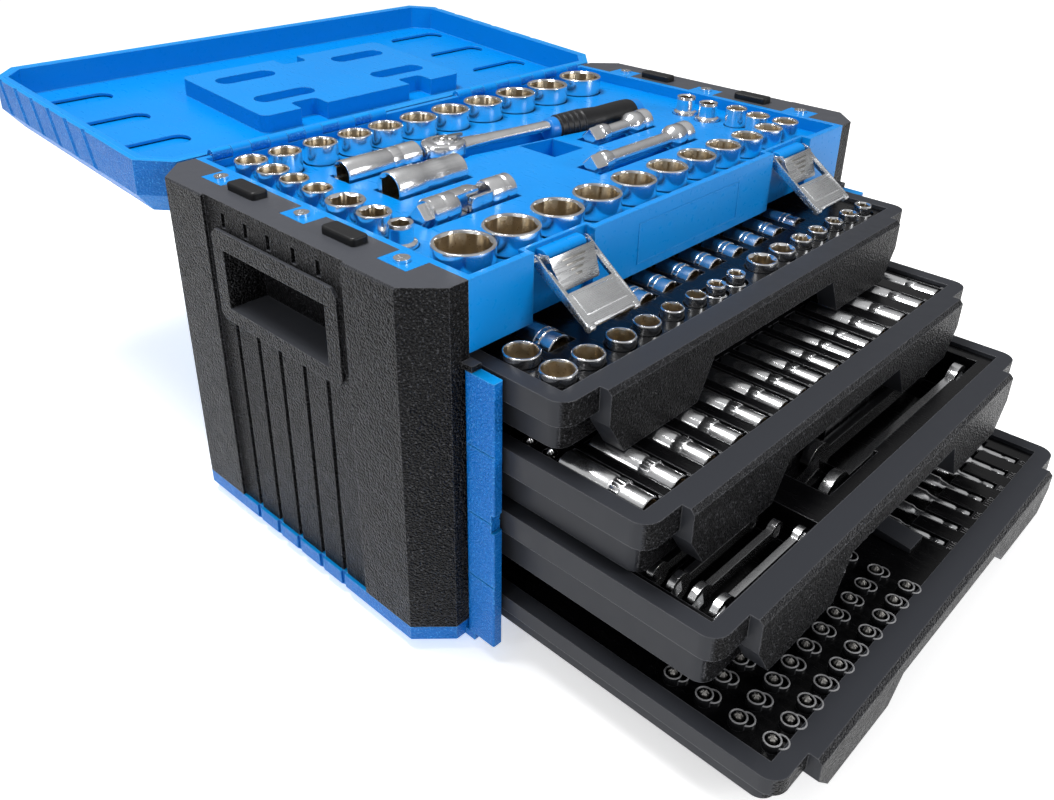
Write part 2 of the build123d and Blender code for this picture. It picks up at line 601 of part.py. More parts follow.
with BuildPart() as joint_socket_end:
    rod(JOINT_X + 15, JOINT_Y, LYING_Z, 11, 24, "X")
    for edge in (-1, 1):
        with Locations((JOINT_X + 9, JOINT_Y + edge * 8, LYING_Z)):
            Box(28, 4, 11)
    rod(JOINT_X, JOINT_Y - 11, LYING_Z, 2.6, 22, "Y", Mode.SUBTRACT)
    lying_drive(JOINT_X + 27, JOINT_Y, LYING_Z, 9.2, 13, 4, Mode.SUBTRACT)
save(joint_socket_end, "joint_socket_end")


def extension(start, end, y, z):
    """Extension bar lying along X: drive square and collar at the left, socket end at the right."""
    with BuildPart() as bar:
        rod(start + 12, y, z, 6.2, end - start - 14, "X")
        rod(start + 12, y, z, 8.2, 10, "X")
        lying_drive(start, y, z, 8.6, 13, 4, Mode.ADD)
        rod(end - 24, y, z, 10.6, 24, "X")
        lying_drive(end - 13, y, z, 8.8, 14, 4, Mode.SUBTRACT)
    return bar


save(extension(-4, 121, -55, LYING_Z), "extension_long")
save(extension(50, 125, -8, LYING_Z), "extension_short")

# ratchet: drawn along its own +X from the centre of its head, then turned into place
RATCHET_AT = (-59.7, 50.4)
RATCHET_TURN = -9.5
RATCHET_Z = 262.0
ratchet_plane = Plane(Location((*RATCHET_AT, RATCHET_Z), (0, 0, RATCHET_TURN)))

with BuildPart(ratchet_plane) as ratchet_body:
    with BuildSketch(ratchet_plane) as head:
        Ellipse(19, 16.5)
    extrude(amount=13)
    with BuildSketch(ratchet_plane.offset(3)) as shank:
        with BuildLine():
            Polyline((10, -11), (44, -7), (112, -6), (112, 6), (44, 7), (10, 11), close=True)
        make_face()
    extrude(amount=8)
    chamfer(ratchet_body.faces().sort_by(Axis.Z)[-1].edges(), 1.5)
    with Locations((0, 0, 13)):
        Cylinder(9, 4, mode=Mode.SUBTRACT)
save(ratchet_body, "ratchet_body")

with BuildPart(ratchet_plane) as ratchet_cap:
    with Locations((0, 0, 12.2)):
        Cylinder(8.9, 2.4)
save(ratchet_cap, "ratchet_cap")

with BuildPart(ratchet_plane) as ratchet_lever:
    with BuildSketch(ratchet_plane.offset(13.6)):
        Circle(4)
        with Locations((9, 0)):
            RectangleRounded(17, 5, 2)
    extrude(amount=2.6)
save(ratchet_lever, "ratchet_lever")

GRIP_START = 104.0
with BuildPart(Plane(Location((*RATCHET_AT, RATCHET_Z + 3.5), (0, 0, RATCHET_TURN)))) as ratchet_grip:
    for start, length, radius in ((0, 16, 11.0), (16, 40, 12.5), (56, 42, 13.2), (98, 8, 11.5)):
        with Locations(Location((GRIP_START + start + length / 2, 0, 0), (0, 90, 0))):
            Cylinder(radius, length)
    with Locations((GRIP_START + 3, 0, 3.5)):
        Box(16, 13, 8, mode=Mode.SUBTRACT)
save(ratchet_grip, "ratchet_grip")

# ---------------------------------------------------------------- insert of the tool tray
WELL_GAP = 0.8
upright_tools = rear_tools + front_tools + left_tools + right_tools + adapter_tools
tray_wells = [(x, y, d / 2 + WELL_GAP, TRAY_FLOOR) for x, y, d, height, star, neck in upright_tools]
small_socket_pocket = ((-154.5, -80), (47, 72))
tray_pockets = [
    ((-150, -79), (-5, 26), 245), (*small_socket_pocket, 248), ((-170, -81), (-57, -31), 248),
    ((-6, 123), (-67, -43), 248), ((48, 127), (-20, 4), 248), ((0, 35), (-15, 25), 245),
]
with BuildPart() as tray_insert:
    add(moulded_insert((TRAY_INSIDE, (FRONT + RECESS_DEPTH + RECESS_WALL, BACK - WALL)), INSERT_TOP,
                       tray_wells, tray_pockets).part)
    with BuildSketch(ratchet_plane.offset(INSERT_TOP - RATCHET_Z - 15)):
        Ellipse(26, 20)
        with Locations((108, 0)):
            RectangleRounded(214, 31, 6)
    extrude(amount=15)
    with BuildSketch(ratchet_plane.offset(INSERT_TOP - RATCHET_Z - 13.5)):
        Ellipse(24, 18.5)
        with Locations((108, 0)):
            RectangleRounded(211, 28, 5)
    extrude(amount=20, mode=Mode.SUBTRACT)
    block(*small_socket_pocket, (250, INSERT_TOP + 1), Mode.SUBTRACT)
save(tray_insert, "tray_insert")

# ---------------------------------------------------------------- drawer bodies, inserts and tools
for drawer, ledge in zip(DRAWERS, LEDGE):
    save(drawer_tray(drawer, ledge), f"{drawer[0]}_body")


def insert_limits(drawer):
    """Edges of a drawer's insert, just inside its rim."""
    front = rim_front(drawer) + RIM_WIDTH + 0.2
    half = RIM_HALF - RIM_WIDTH - 0.2
    return (-half, half), (front, rim_front(drawer) + DRAWER_DEPTH - RIM_WIDTH - 0.2)


# drawer 1: small sockets, upright in front and lying on their sides behind
drawer_1 = DRAWERS[0]
D1_ROW_Y = rim_front(drawer_1) + 26
D1_TOP = 222.4
D1_HEIGHT = 25.0
D1_HEX = [(-191, 23.2), (-163.9, 21.1), (-133, 20), (-106.6, 18.5), (-79.5, 15.8), (-53, 14.6)]
D1_NECKED = [(-28.7, 18, 12), (-4.2, 17.5, 10.5), (186.4, 18, 14)]
D1_STAR = [(30, 22.7), (58, 20), (86, 16.4), (110.5, 15.6), (136.8, 15), (161, 14.4)]
d1_upright = [(x, D1_ROW_Y, d, D1_HEIGHT, False, 0) for x, d in D1_HEX]
d1_upright += [(-190.5, D1_ROW_Y + 30, 24.3, D1_HEIGHT, False, 0)]
d1_upright += [(x, D1_ROW_Y, d, D1_HEIGHT, False, neck) for x, d, neck in D1_NECKED]
d1_star = [(x, D1_ROW_Y, d, D1_HEIGHT, True, 0) for x, d in D1_STAR]
save(upright_row(d1_upright, D1_TOP), "drawer_1_hex_sockets")
save(upright_row(d1_star, D1_TOP), "drawer_1_star_sockets")

D1_LYING = [(-160, 24), (-98, 23), (-72, 21), (-45, 20.5), (-17, 20.5), (11, 20), (41, 20), (70, 19), (98, 19),
            (128, 18)]
D1_LYING_Y = rim_front(drawer_1) + 52
D1_LYING_LENGTH = 29.0


def lying_sockets(tools, front_y, length, axis_z, nose):
    """Sockets on their sides along Y, open end to the front, with a thinner nose and a ring."""
    with BuildPart() as row:
        for x, diameter in tools:
            radius = diameter / 2
            rod(x, front_y + nose * length, axis_z, radius, (1 - nose) * length, "Y")
            rod(x, front_y, axis_z, radius * 0.9, length, "Y")
            with BuildSketch(Plane(origin=(x, front_y, axis_z), x_dir=(1, 0, 0), z_dir=(0, 1, 0))) as mouth:
                RegularPolygon(radius * 0.78, 6)
            extrude(mouth.sketch, amount=length * 0.35, mode=Mode.SUBTRACT)
    return row


save(lying_sockets(D1_LYING, D1_LYING_Y, D1_LYING_LENGTH, 210.4, 0.45), "drawer_1_lying_sockets")

# drawer 2: deep sockets side by side, two bits at the back left
drawer_2 = DRAWERS[1]
D2_FACE = drawer_2[1] - INSERT_DROP
D2_DEEP = [(-192.5, 20), (-164, 19), (-132, 18.5), (-102.5, 18), (-74, 17), (-47.5, 16.5), (-23.5, 15.5),
           (-0.8, 15), (22.5, 14.5), (46, 14), (69.5, 14), (95, 17), (127.5, 17), (160, 16), (191, 15)]
D2_LENGTH = 63.0
save(lying_sockets(D2_DEEP, rim_front(drawer_2) + 15.4, D2_LENGTH, 160.0, 0.36), "drawer_2_deep_sockets")

BIT_RADIUS = 3.2


def bits(places, top, height):
    """Standing screwdriver bits: hexagonal shank and a thinner tip."""
    with BuildPart() as group:
        for x, y in places:
            with BuildSketch(Plane(origin=(x, y, top - height), x_dir=(1, 0, 0), z_dir=(0, 0, 1))) as shank:
                RegularPolygon(BIT_RADIUS * 1.25, 6)
            extrude(shank.sketch, amount=height * 0.72)
            rod(x, y, top - height, BIT_RADIUS * 0.6, height)
    return group


d2_bits = [(-196, rim_front(drawer_2) + 88 + 17 * index) for index in range(2)]
save(bits(d2_bits, D2_FACE + 2.5, 24), "drawer_2_bits")

# drawer 3: combination wrenches standing on edge
drawer_3 = DRAWERS[2]
D3_FACE = drawer_3[1] - INSERT_DROP
WRENCH_TOP = drawer_3[1] - 0.6


def wrench(start, end, y, thickness, jaw, ring):
    """Combination wrench on edge along X, open end at the left, ring at the right."""
    axis_z = WRENCH_TOP - jaw
    with BuildPart() as tool:
        with BuildSketch(Plane(origin=(0, y - thickness / 2, axis_z), x_dir=(1, 0, 0), z_dir=(0, -1, 0))):
            with Locations((start + jaw, 0)):
                Circle(jaw)
            with Locations(((start + end) / 2, jaw * 0.2)):
                Rectangle(end - start - jaw - ring, jaw * 0.72)
            with Locations((end - ring, jaw * 0.25)):
                Circle(ring)
                RegularPolygon(ring * 0.62, 12, mode=Mode.SUBTRACT)
            with Locations(Location((start + jaw * 0.35, 0), 15)):
                Rectangle(jaw * 1.5, jaw * 0.92, mode=Mode.SUBTRACT)
        extrude(amount=-thickness)
    return tool


SMALL_WRENCHES = [(-194, -106, 9.0, 5.6), (-194, -101, 9.8, 6.2), (-194, -96, 10.6, 6.8), (-194, -90, 11.4, 7.4)]
for index, (start, end, jaw, ring) in enumerate(SMALL_WRENCHES):
    wrench_y = rim_front(drawer_3) + 62 - 14.5 * index
    save(wrench(start, end, wrench_y, 4.6, jaw, ring), f"wrench_small_{index + 1}")
LARGE_WRENCHES = [(-50, 182, 30, 18.2, 13.5), (-26, 178, 56, 16.6, 12)]
for index, (start, end, from_front, jaw, ring) in enumerate(LARGE_WRENCHES):
    save(wrench(start, end, rim_front(drawer_3) + from_front, 7, jaw, ring), f"wrench_large_{index + 1}")

# drawer 4: bits in rings at the left, nut drivers lying at the right
drawer_4 = DRAWERS[3]
D4_FACE = drawer_4[1] - INSERT_DROP
D4_PITCH = 18.8
D4_BIT_ROWS = [(18.3, 10), (40.3, 10), (63.5, 10), (86.0, 10)]
d4_places = []
for from_front, count in D4_BIT_ROWS:
    for index in range(count):
        d4_places.append((-192 + index * D4_PITCH, rim_front(drawer_4) + from_front))
BIT_RISE = 14.0              # the tips stand this far above the rim
BIT_LENGTH = 36.0
save(bits(d4_places, drawer_4[1] + BIT_RISE, BIT_LENGTH), "drawer_4_bits")

with BuildPart() as bit_rings:
    for x, y in d4_places:
        rod(x, y, D4_FACE - 6, 4.7, 7.5)
    for x, y in d4_places:
        rod(x, y, D4_FACE - 7, BIT_RADIUS * 1.25 + 0.05, 10, mode=Mode.SUBTRACT)
save(bit_rings, "drawer_4_bit_rings")

DRIVER_PITCH = 23.1
DRIVER_HEADS = [9.0, 9.6, 11.0, 12.0, 13.4, 15.0, 17.0]
DRIVER_START = 45.0
DRIVER_TIP = rim_front(drawer_4) + 20
DRIVER_Z = 45.0
with BuildPart() as nut_drivers:
    for index, head in enumerate(DRIVER_HEADS):
        x = DRIVER_START + index * DRIVER_PITCH
        with BuildSketch(Plane(origin=(x, DRIVER_TIP, DRIVER_Z), x_dir=(1, 0, 0), z_dir=(0, 1, 0))) as hexagon:
            RegularPolygon(3.6, 6)
        extrude(hexagon.sketch, amount=40)
        rod(x, DRIVER_TIP + 26, DRIVER_Z, head / 2 * 0.8, 8, "Y")
        rod(x, DRIVER_TIP + 32, DRIVER_Z, head / 2, 20, "Y")
save(nut_drivers, "drawer_4_nut_drivers")

# inserts of the drawers
D1_FACE = drawer_1[1] - INSERT_DROP
d1_wells = [(x, y, d / 2 + WELL_GAP, D1_TOP - D1_HEIGHT - CUP) for x, y, d, h, s, n in d1_upright + d1_star]
d1_pockets = []
for x, d in D1_LYING:
    along = (D1_LYING_Y - 2, D1_LYING_Y + D1_LYING_LENGTH + 2)
    d1_pockets.append(((x - d / 2 - 0.8, x + d / 2 + 0.8), along, 195.0))
save(moulded_insert(insert_limits(drawer_1), D1_FACE, d1_wells, d1_pockets), "drawer_1_insert")

d2_pockets = []
for x, d in D2_DEEP:
    along = (rim_front(drawer_2) + 14, rim_front(drawer_2) + 17 + D2_LENGTH)
    d2_pockets.append(((x - d / 2 - 0.6, x + d / 2 + 0.6), along, 147.0))
d2_wells = [(x, y, BIT_RADIUS * 1.25 + 0.5, D2_FACE + 2.5 - 24 - CUP) for x, y in d2_bits]
save(moulded_insert(insert_limits(drawer_2), D2_FACE, d2_wells, d2_pockets), "drawer_2_insert")

d3_pockets = [
    ((-198, -84), (rim_front(drawer_3) + 13.8, rim_front(drawer_3) + 68), 90.0),
    ((-54, 14), (rim_front(drawer_3) + 22, rim_front(drawer_3) + 66), 81.0),
    ((12, 152), (rim_front(drawer_3) + 25, rim_front(drawer_3) + 61), 90.0),
    ((148, 190), (rim_front(drawer_3) + 22, rim_front(drawer_3) + 66), 84.0),
]
save(moulded_insert(insert_limits(drawer_3), D3_FACE, [], d3_pockets), "drawer_3_insert")

d4_wells = [(x, y, 5.4, 26.5) for x, y in d4_places]
d4_pockets = []
for index, head in enumerate(DRIVER_HEADS):
    x = DRIVER_START + index * DRIVER_PITCH
    d4_pockets.append(((x - 4.5, x + 4.5), (DRIVER_TIP - 2, DRIVER_TIP + 28), 34.0))
head_end = DRIVER_START + 6 * DRIVER_PITCH + 11
d4_pockets.append(((DRIVER_START - 10, head_end), (DRIVER_TIP + 26, DRIVER_TIP + 56), 33.0))
save(moulded_insert(insert_limits(drawer_4), D4_FACE, d4_wells, d4_pockets), "drawer_4_insert")
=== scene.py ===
import json
import math

import bmesh
import bpy
from mathutils import Matrix, Vector


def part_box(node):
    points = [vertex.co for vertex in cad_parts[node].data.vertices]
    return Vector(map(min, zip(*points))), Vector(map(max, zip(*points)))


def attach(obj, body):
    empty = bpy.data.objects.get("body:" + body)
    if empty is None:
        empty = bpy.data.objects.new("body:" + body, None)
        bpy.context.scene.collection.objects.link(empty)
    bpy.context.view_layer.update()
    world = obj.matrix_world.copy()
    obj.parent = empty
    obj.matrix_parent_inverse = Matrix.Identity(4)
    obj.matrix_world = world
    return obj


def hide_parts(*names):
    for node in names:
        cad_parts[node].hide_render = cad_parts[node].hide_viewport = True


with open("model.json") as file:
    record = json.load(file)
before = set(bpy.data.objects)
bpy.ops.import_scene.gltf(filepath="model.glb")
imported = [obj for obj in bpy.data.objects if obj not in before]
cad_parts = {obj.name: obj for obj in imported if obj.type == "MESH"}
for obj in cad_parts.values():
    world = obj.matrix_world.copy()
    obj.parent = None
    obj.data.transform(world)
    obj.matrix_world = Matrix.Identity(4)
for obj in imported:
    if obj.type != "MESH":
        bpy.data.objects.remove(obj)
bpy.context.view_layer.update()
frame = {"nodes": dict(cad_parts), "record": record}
nodes = frame["nodes"]
MM = 0.001

# ---------------------------------------------------------------- camera, light and floor
CAMERA_AT = (-0.5606, -0.5128, 0.5106)
YAW = math.radians(47.17)          # view direction, turned from +Y towards +X
PITCH = math.radians(27.62)        # looking down
ROLL = math.radians(1.15)
SENSOR_MM = 36.0
LENS_MM = 33.510057
SHIFT_X = -0.0041746               # of the frame against the lens axis, in image widths
SHIFT_Y = -0.0777040
NEAR_LIMIT = 0.01


def add_camera():
    """Camera with the lens, place and tilt of the reference view."""
    ahead = Vector((math.sin(YAW) * math.cos(PITCH), math.cos(YAW) * math.cos(PITCH), -math.sin(PITCH)))
    level = Vector((math.cos(YAW), -math.sin(YAW), 0))
    above = level.cross(ahead)
    right = level * math.cos(ROLL) + above * math.sin(ROLL)
    up = above * math.cos(ROLL) - level * math.sin(ROLL)
    data = bpy.data.cameras.new("camera")
    data.sensor_width = SENSOR_MM
    data.lens = LENS_MM
    data.shift_x = SHIFT_X
    data.shift_y = SHIFT_Y
    data.clip_start = NEAR_LIMIT
    camera = bpy.data.objects.new("camera", data)
    bpy.context.scene.collection.objects.link(camera)
    turn = Matrix((right, up, -ahead)).transposed().to_4x4()
    camera.matrix_world = Matrix.Translation(CAMERA_AT) @ turn
    bpy.context.scene.camera = camera


def area_light(name, place, target, size, power):
    """Soft rectangular light aimed at a point."""
    data = bpy.data.lights.new(name, "AREA")
    data.shape = "RECTANGLE"
    data.size, data.size_y = size
    data.energy = power
    light = bpy.data.objects.new(name, data)
    bpy.context.scene.collection.objects.link(light)
    light.location = place
    light.rotation_euler = (Vector(target) - Vector(place)).to_track_quat("-Z", "Y").to_euler()


WORLD_STRENGTH = 0.5
DIM_HEIGHT = 0.28                  # of the world's unit sphere, where the surround is dimmest
BRIGHT_HEIGHT = 0.8                # from here up it is white


def add_world():
    """Surround that is bright overhead and dimmer near the horizon, so that metal has contrast."""
    world = bpy.data.worlds.new("studio")
    bpy.context.scene.world = world
    world.use_nodes = True
    tree = world.node_tree
    coords = tree.nodes.new("ShaderNodeTexCoord")
    split = tree.nodes.new("ShaderNodeSeparateXYZ")
    ramp = tree.nodes.new("ShaderNodeValToRGB")
    tree.links.new(coords.outputs["Generated"], split.inputs["Vector"])
    tree.links.new(split.outputs["Z"], ramp.inputs["Fac"])
    stops = ramp.color_ramp.elements
    stops[0].position, stops[0].color = 0.0, (0.5, 0.5, 0.5, 1)
    stops[1].position, stops[1].color = BRIGHT_HEIGHT, (1, 1, 1, 1)
    low = stops.new(DIM_HEIGHT)
    low.color = (0.45, 0.45, 0.46, 1)
    tree.links.new(ramp.outputs["Color"], tree.nodes["Background"].inputs["Color"])
    tree.nodes["Background"].inputs["Strength"].default_value = WORLD_STRENGTH


TOP_WATTS = 26
LEFT_WATTS = 4
FRONT_WATTS = 16
FLOOR_SIZE = 14
FLOOR_TONE = 0.97
FLOOR_ROUGHNESS = 0.8
FLOOR_GLOW = 0.55                  # keeps the paper white where the light boxes don't reach


def add_studio():
    """Pale floor, surround and three soft boxes."""
    bpy.context.scene.view_settings.view_transform = "Standard"
    add_world()
    area_light("top_box", (-0.3, 0.3, 1.7), (0, -0.05, 0.2), (0.7, 0.5), TOP_WATTS)
    area_light("left_box", (-1.7, -0.1, 0.9), (-0.1, 0, 0.15), (0.5, 0.6), LEFT_WATTS)
    area_light("front_box", (0.5, -1.9, 1.0), (0, -0.1, 0.15), (0.6, 0.5), FRONT_WATTS)
    bpy.ops.mesh.primitive_plane_add(size=FLOOR_SIZE)
    floor = bpy.context.object
    floor.name = "floor"
    material = bpy.data.materials.new("floor_paper")
    material.use_nodes = True
    surface = material.node_tree.nodes["Principled BSDF"]
    surface.inputs["Base Color"].default_value = (FLOOR_TONE, FLOOR_TONE, FLOOR_TONE, 1)
    surface.inputs["Roughness"].default_value = FLOOR_ROUGHNESS
    surface.inputs["Emission Color"].default_value = (1, 1, 1, 1)
    surface.inputs["Emission Strength"].default_value = FLOOR_GLOW
    floor.data.materials.append(material)


add_camera()
add_studio()


# ---------------------------------------------------------------- materials
EDGE = 0.0011                      # softened edge of the mouldings
METAL_EDGE = 0.0003                # softened edge of the tools
BEVEL_SAMPLES = 4
EDGE_START = 0.01                  # how far the softened normal leaves the true one where the painted edge highlight begins
EDGE_FULL = 0.2                    # and where it is complete


class Surface:
    """A Principled material and a few short ways to wire nodes into it."""

    def __init__(self, name, colour, roughness, metallic=0.0, edge=EDGE, gloss=0.5):
        self.material = bpy.data.materials.new(name)
        self.material.use_nodes = True
        self.tree = self.material.node_tree
        self.shader = self.tree.nodes["Principled BSDF"]
        self.shader.inputs["Base Color"].default_value = (*colour, 1)
        self.shader.inputs["Roughness"].default_value = roughness
        self.shader.inputs["Metallic"].default_value = metallic
        self.shader.inputs["Specular IOR Level"].default_value = gloss
        self.coords = self.node("ShaderNodeTexCoord")
        soft = self.node("ShaderNodeBevel", Radius=edge)
        soft.samples = BEVEL_SAMPLES
        self.soft_normal = soft.outputs["Normal"]
        self.link(self.soft_normal, self.shader.inputs["Normal"])

    def node(self, kind, **values):
        """New node with its sockets and settings given by name."""
        node = self.tree.nodes.new(kind)
        for key, value in values.items():
            if key in node.inputs:
                node.inputs[key].default_value = value
            else:
                setattr(node, key, value)
        return node

    def link(self, source, target):
        """Wires an output to an input."""
        self.tree.links.new(source, target)

    def noise(self, scale, detail, stretch=(1, 1, 1)):
        """Noise in object space: scale is features per metre."""
        place = self.node("ShaderNodeMapping", Scale=stretch)
        self.link(self.coords.outputs["Object"], place.inputs["Vector"])
        noise = self.node("ShaderNodeTexNoise", Scale=scale, Detail=detail)
        self.link(place.outputs["Vector"], noise.inputs["Vector"])
        return noise.outputs["Fac"]

    def cells(self, scale):
        """Rounded cells, the pebbles of a moulded grain."""
        cells = self.node("ShaderNodeTexVoronoi", feature="SMOOTH_F1", Scale=scale, Smoothness=0.6)
        self.link(self.coords.outputs["Object"], cells.inputs["Vector"])
        return cells.outputs["Distance"]

    def math(self, operation, first, second):
        """Arithmetic on two values, either of which may be a plain number."""
        node = self.node("ShaderNodeMath", operation=operation)
        for index, value in enumerate((first, second)):
            if isinstance(value, (int, float)):
                node.inputs[index].default_value = value
            else:
                self.link(value, node.inputs[index])
        return node.outputs["Value"]

    def span(self, value, low, high, out_low=0.0, out_high=1.0):
        """Clamped straight-line map of a value."""
        node = self.node("ShaderNodeMapRange")
        self.link(value, node.inputs["Value"])
        for index, number in enumerate((low, high, out_low, out_high)):
            node.inputs[index + 1].default_value = number
        return node.outputs["Result"]

    def part(self, output, axis):
        """One axis of the object's own normal or place."""
        split = self.node("ShaderNodeSeparateXYZ")
        self.link(self.coords.outputs[output], split.inputs["Vector"])
        return split.outputs[axis]

    def bump(self, height, depth):
        """Adds a bump on top of the softened normals."""
        node = self.node("ShaderNodeBump", Strength=1.0, Distance=depth)
        self.link(height, node.inputs["Height"])
        self.link(self.soft_normal, node.inputs["Normal"])
        self.link(node.outputs["Normal"], self.shader.inputs["Normal"])

    def blend(self, factor, first, second):
        """Colour between two; either may be a plain colour or a wire."""
        mix = self.node("ShaderNodeMix", data_type="RGBA")
        self.link(factor, mix.inputs[0])
        for socket, colour in ((mix.inputs[6], first), (mix.inputs[7], second)):
            if isinstance(colour, tuple):
                socket.default_value = (*colour, 1)
            else:
                self.link(colour, socket)
        return mix.outputs[2]

    def edges(self):
        """1 along moulded edges, found where the softened normal leaves the true one; the painted edge
        highlight is laid there.
        """
        true = self.node("ShaderNodeNewGeometry")
        dot = self.node("ShaderNodeVectorMath", operation="DOT_PRODUCT")
        self.link(self.soft_normal, dot.inputs[0])
        self.link(true.outputs["True Normal"], dot.inputs[1])
        return self.span(dot.outputs["Value"], 1 - EDGE_FULL, 1 - EDGE_START, 1.0, 0.0)

    def paint(self, colour):
        """Sets the base colour from a wire."""
        self.link(colour, self.shader.inputs["Base Color"])

    def roughness(self, value):
        """Sets the roughness from a wire."""
        self.link(value, self.shader.inputs["Roughness"])


def not_on_top(surface):
    """1 on walls, 0 on faces that look up or down."""
    return surface.span(surface.math("ABSOLUTE", surface.part("Normal", "Z"), 0), 0.6, 0.8, 1.0, 0.0)


def on_front(surface):
    """1 on faces that look towards the front."""
    return surface.span(surface.part("Normal", "Y"), -0.75, -0.55, 1.0, 0.0)


PEBBLES = 680                      # noise and cell scales are features per metre
FINE_GRAIN = 900
PEAKS = 700
# strength of the painted speckle highlights on the grain
PEAK_HIGHLIGHT = 0.55
SKIN_ROUGHNESS = 0.36              # of the faces without grain


def grained(name, dark, light, smooth, highlight, rough, depth, mask, gloss):
    """Moulded plastic with a pebble grain where the mask is 1 and a satin skin where it is 0, with painted
    highlights on its edges and on scattered grain peaks; the skin colour is partly its own tone and partly
    painted sheen.
    """
    surface = Surface(name, dark, rough, gloss=gloss)
    amount = mask(surface)
    pebbles = surface.math("MULTIPLY", surface.cells(PEBBLES), -1.3)
    height = surface.math("ADD", pebbles, surface.math("MULTIPLY", surface.noise(FINE_GRAIN, 3), 0.8))
    tone = surface.blend(surface.noise(16, 4), dark, light)
    # painted speckle highlights: light spots scattered over the grain
    peaks = surface.span(surface.noise(PEAKS, 3), 0.56, 0.7)
    tone = surface.blend(surface.math("MULTIPLY", peaks, PEAK_HIGHLIGHT), tone, highlight)
    # faces without grain take the skin colour, paler than the grain: partly their own tone, partly painted
    # sheen of the top light
    tone = surface.blend(amount, smooth, tone)
    # painted highlight along the moulded edges
    surface.paint(surface.blend(surface.edges(), tone, highlight))
    scuffs = surface.span(surface.noise(90, 6), 0.3, 0.7, -0.05, 0.07)
    surface.roughness(surface.math("ADD", surface.span(amount, 0, 1, SKIN_ROUGHNESS, rough), scuffs))
    surface.bump(surface.math("MULTIPLY", height, amount), depth)
    return surface.material


MOULD_TEXTURE = 0.00001            # depth of the faint unevenness of smooth mouldings


def smooth_plastic(name, dark, light, highlight, rough, gloss=0.5):
    """Moulded plastic with faint flow marks, fine scuffs and painted light along the edges: a highlight on
    dark plastic, shade on the pale print grey.
    """
    surface = Surface(name, dark, rough, gloss=gloss)
    tone = surface.blend(surface.noise(9, 3), dark, light)
    # painted edge highlight; on the pale print grey this paints shade instead
    surface.paint(surface.blend(surface.math("MULTIPLY", surface.edges(), 0.6), tone, highlight))
    scuffs = surface.noise(240, 5, (1, 0.25, 1))
    surface.roughness(surface.span(scuffs, 0.3, 0.7, rough - 0.05, rough + 0.09))
    surface.bump(surface.noise(420, 3), MOULD_TEXTURE)
    return surface.material


def metal(name, dark, light, rough, stretch=(1, 1, 1)):
    """Plated metal with faint polishing lines along one direction and small smudges."""
    surface = Surface(name, dark, rough, 1.0, METAL_EDGE)
    surface.paint(surface.blend(surface.span(surface.noise(70, 4), 0.3, 0.7), dark, light))
    lines = surface.noise(FINE_GRAIN, 3, stretch)
    surface.roughness(surface.span(lines, 0.3, 0.7, rough - 0.04, rough + 0.06))
    return surface.material


BLACK = (0.0025, 0.0025, 0.003)
BLACK_LIGHT = (0.005, 0.005, 0.006)
# colour of the painted highlights on edges and grain peaks; the print grey's edges take it as painted shade
HIGHLIGHT_GREY = (0.13, 0.133, 0.145)
# greys of the smooth faces of the black mouldings: partly their own tone, partly painted sheen of the top
# light
FLANGE_SKIN_AND_SHEEN = (0.06, 0.063, 0.073)
RIM_SKIN_AND_SHEEN = (0.03, 0.032, 0.038)
BLUE = (0.0, 0.12, 0.46)
BLUE_LIGHT = (0.0, 0.15, 0.53)
# paler blue of the smooth blue faces: partly its own tone, partly painted sheen of the top light
PALE_BLUE_SKIN_AND_SHEEN = (0.0, 0.24, 0.62)
# colour of the painted highlights on the blue edges and grain peaks
HIGHLIGHT_BLUE = (0.08, 0.42, 0.9)
TRAY_BLUE = (0.0, 0.2, 0.61)
TRAY_BLUE_LIGHT = (0.0, 0.24, 0.67)
BLACK_GRAIN = 0.002                # depth of the pebbles
BLUE_GRAIN = 0.0004
BRUSHED = (0.06, 1, 1)             # polishing lines run along X

materials = {
    "case_black": grained("case_black", BLACK, BLACK_LIGHT, FLANGE_SKIN_AND_SHEEN, HIGHLIGHT_GREY, 0.32, BLACK_GRAIN,
                          not_on_top, 0.14),
    "drawer_black": grained("drawer_black", BLACK, BLACK_LIGHT, RIM_SKIN_AND_SHEEN, HIGHLIGHT_GREY, 0.32, BLACK_GRAIN,
                            on_front, 0.14),
    "insert_black": smooth_plastic("insert_black", BLACK, BLACK, HIGHLIGHT_GREY, 0.22, 0.3),
    "liner_black": smooth_plastic("liner_black", BLACK, BLACK_LIGHT, HIGHLIGHT_GREY, 0.35, 0.3),
    "case_blue": grained("case_blue", BLUE, BLUE_LIGHT, PALE_BLUE_SKIN_AND_SHEEN, HIGHLIGHT_BLUE, 0.38, BLUE_GRAIN,
                         not_on_top, 0.2),
    "smooth_blue": smooth_plastic("smooth_blue", TRAY_BLUE, TRAY_BLUE_LIGHT, HIGHLIGHT_BLUE, 0.3, 0.2),
    "chrome": metal("chrome", (0.78, 0.79, 0.8), (0.9, 0.9, 0.91), 0.2),
    "mouth": metal("mouth", (0.42, 0.35, 0.25), (0.6, 0.52, 0.4), 0.3),
    "latch_steel": metal("latch_steel", (0.68, 0.69, 0.7), (0.8, 0.81, 0.82), 0.27, BRUSHED),
    "dark_steel": metal("dark_steel", (0.26, 0.25, 0.235), (0.42, 0.41, 0.39), 0.3),
    "rubber": smooth_plastic("rubber", BLACK, BLACK_LIGHT, HIGHLIGHT_GREY, 0.4, 0.4),
    "grip_blue": smooth_plastic("grip_blue", (0.0, 0.14, 0.5), (0.0, 0.2, 0.6), HIGHLIGHT_BLUE, 0.35),
    # pale grey of the moulded print, also painted as a highlight on the lips of the bit-holder cups
    "print_and_highlight_grey": smooth_plastic("print_and_highlight_grey", (0.3, 0.3, 0.31), (0.4, 0.4, 0.41), HIGHLIGHT_GREY, 0.4),
}

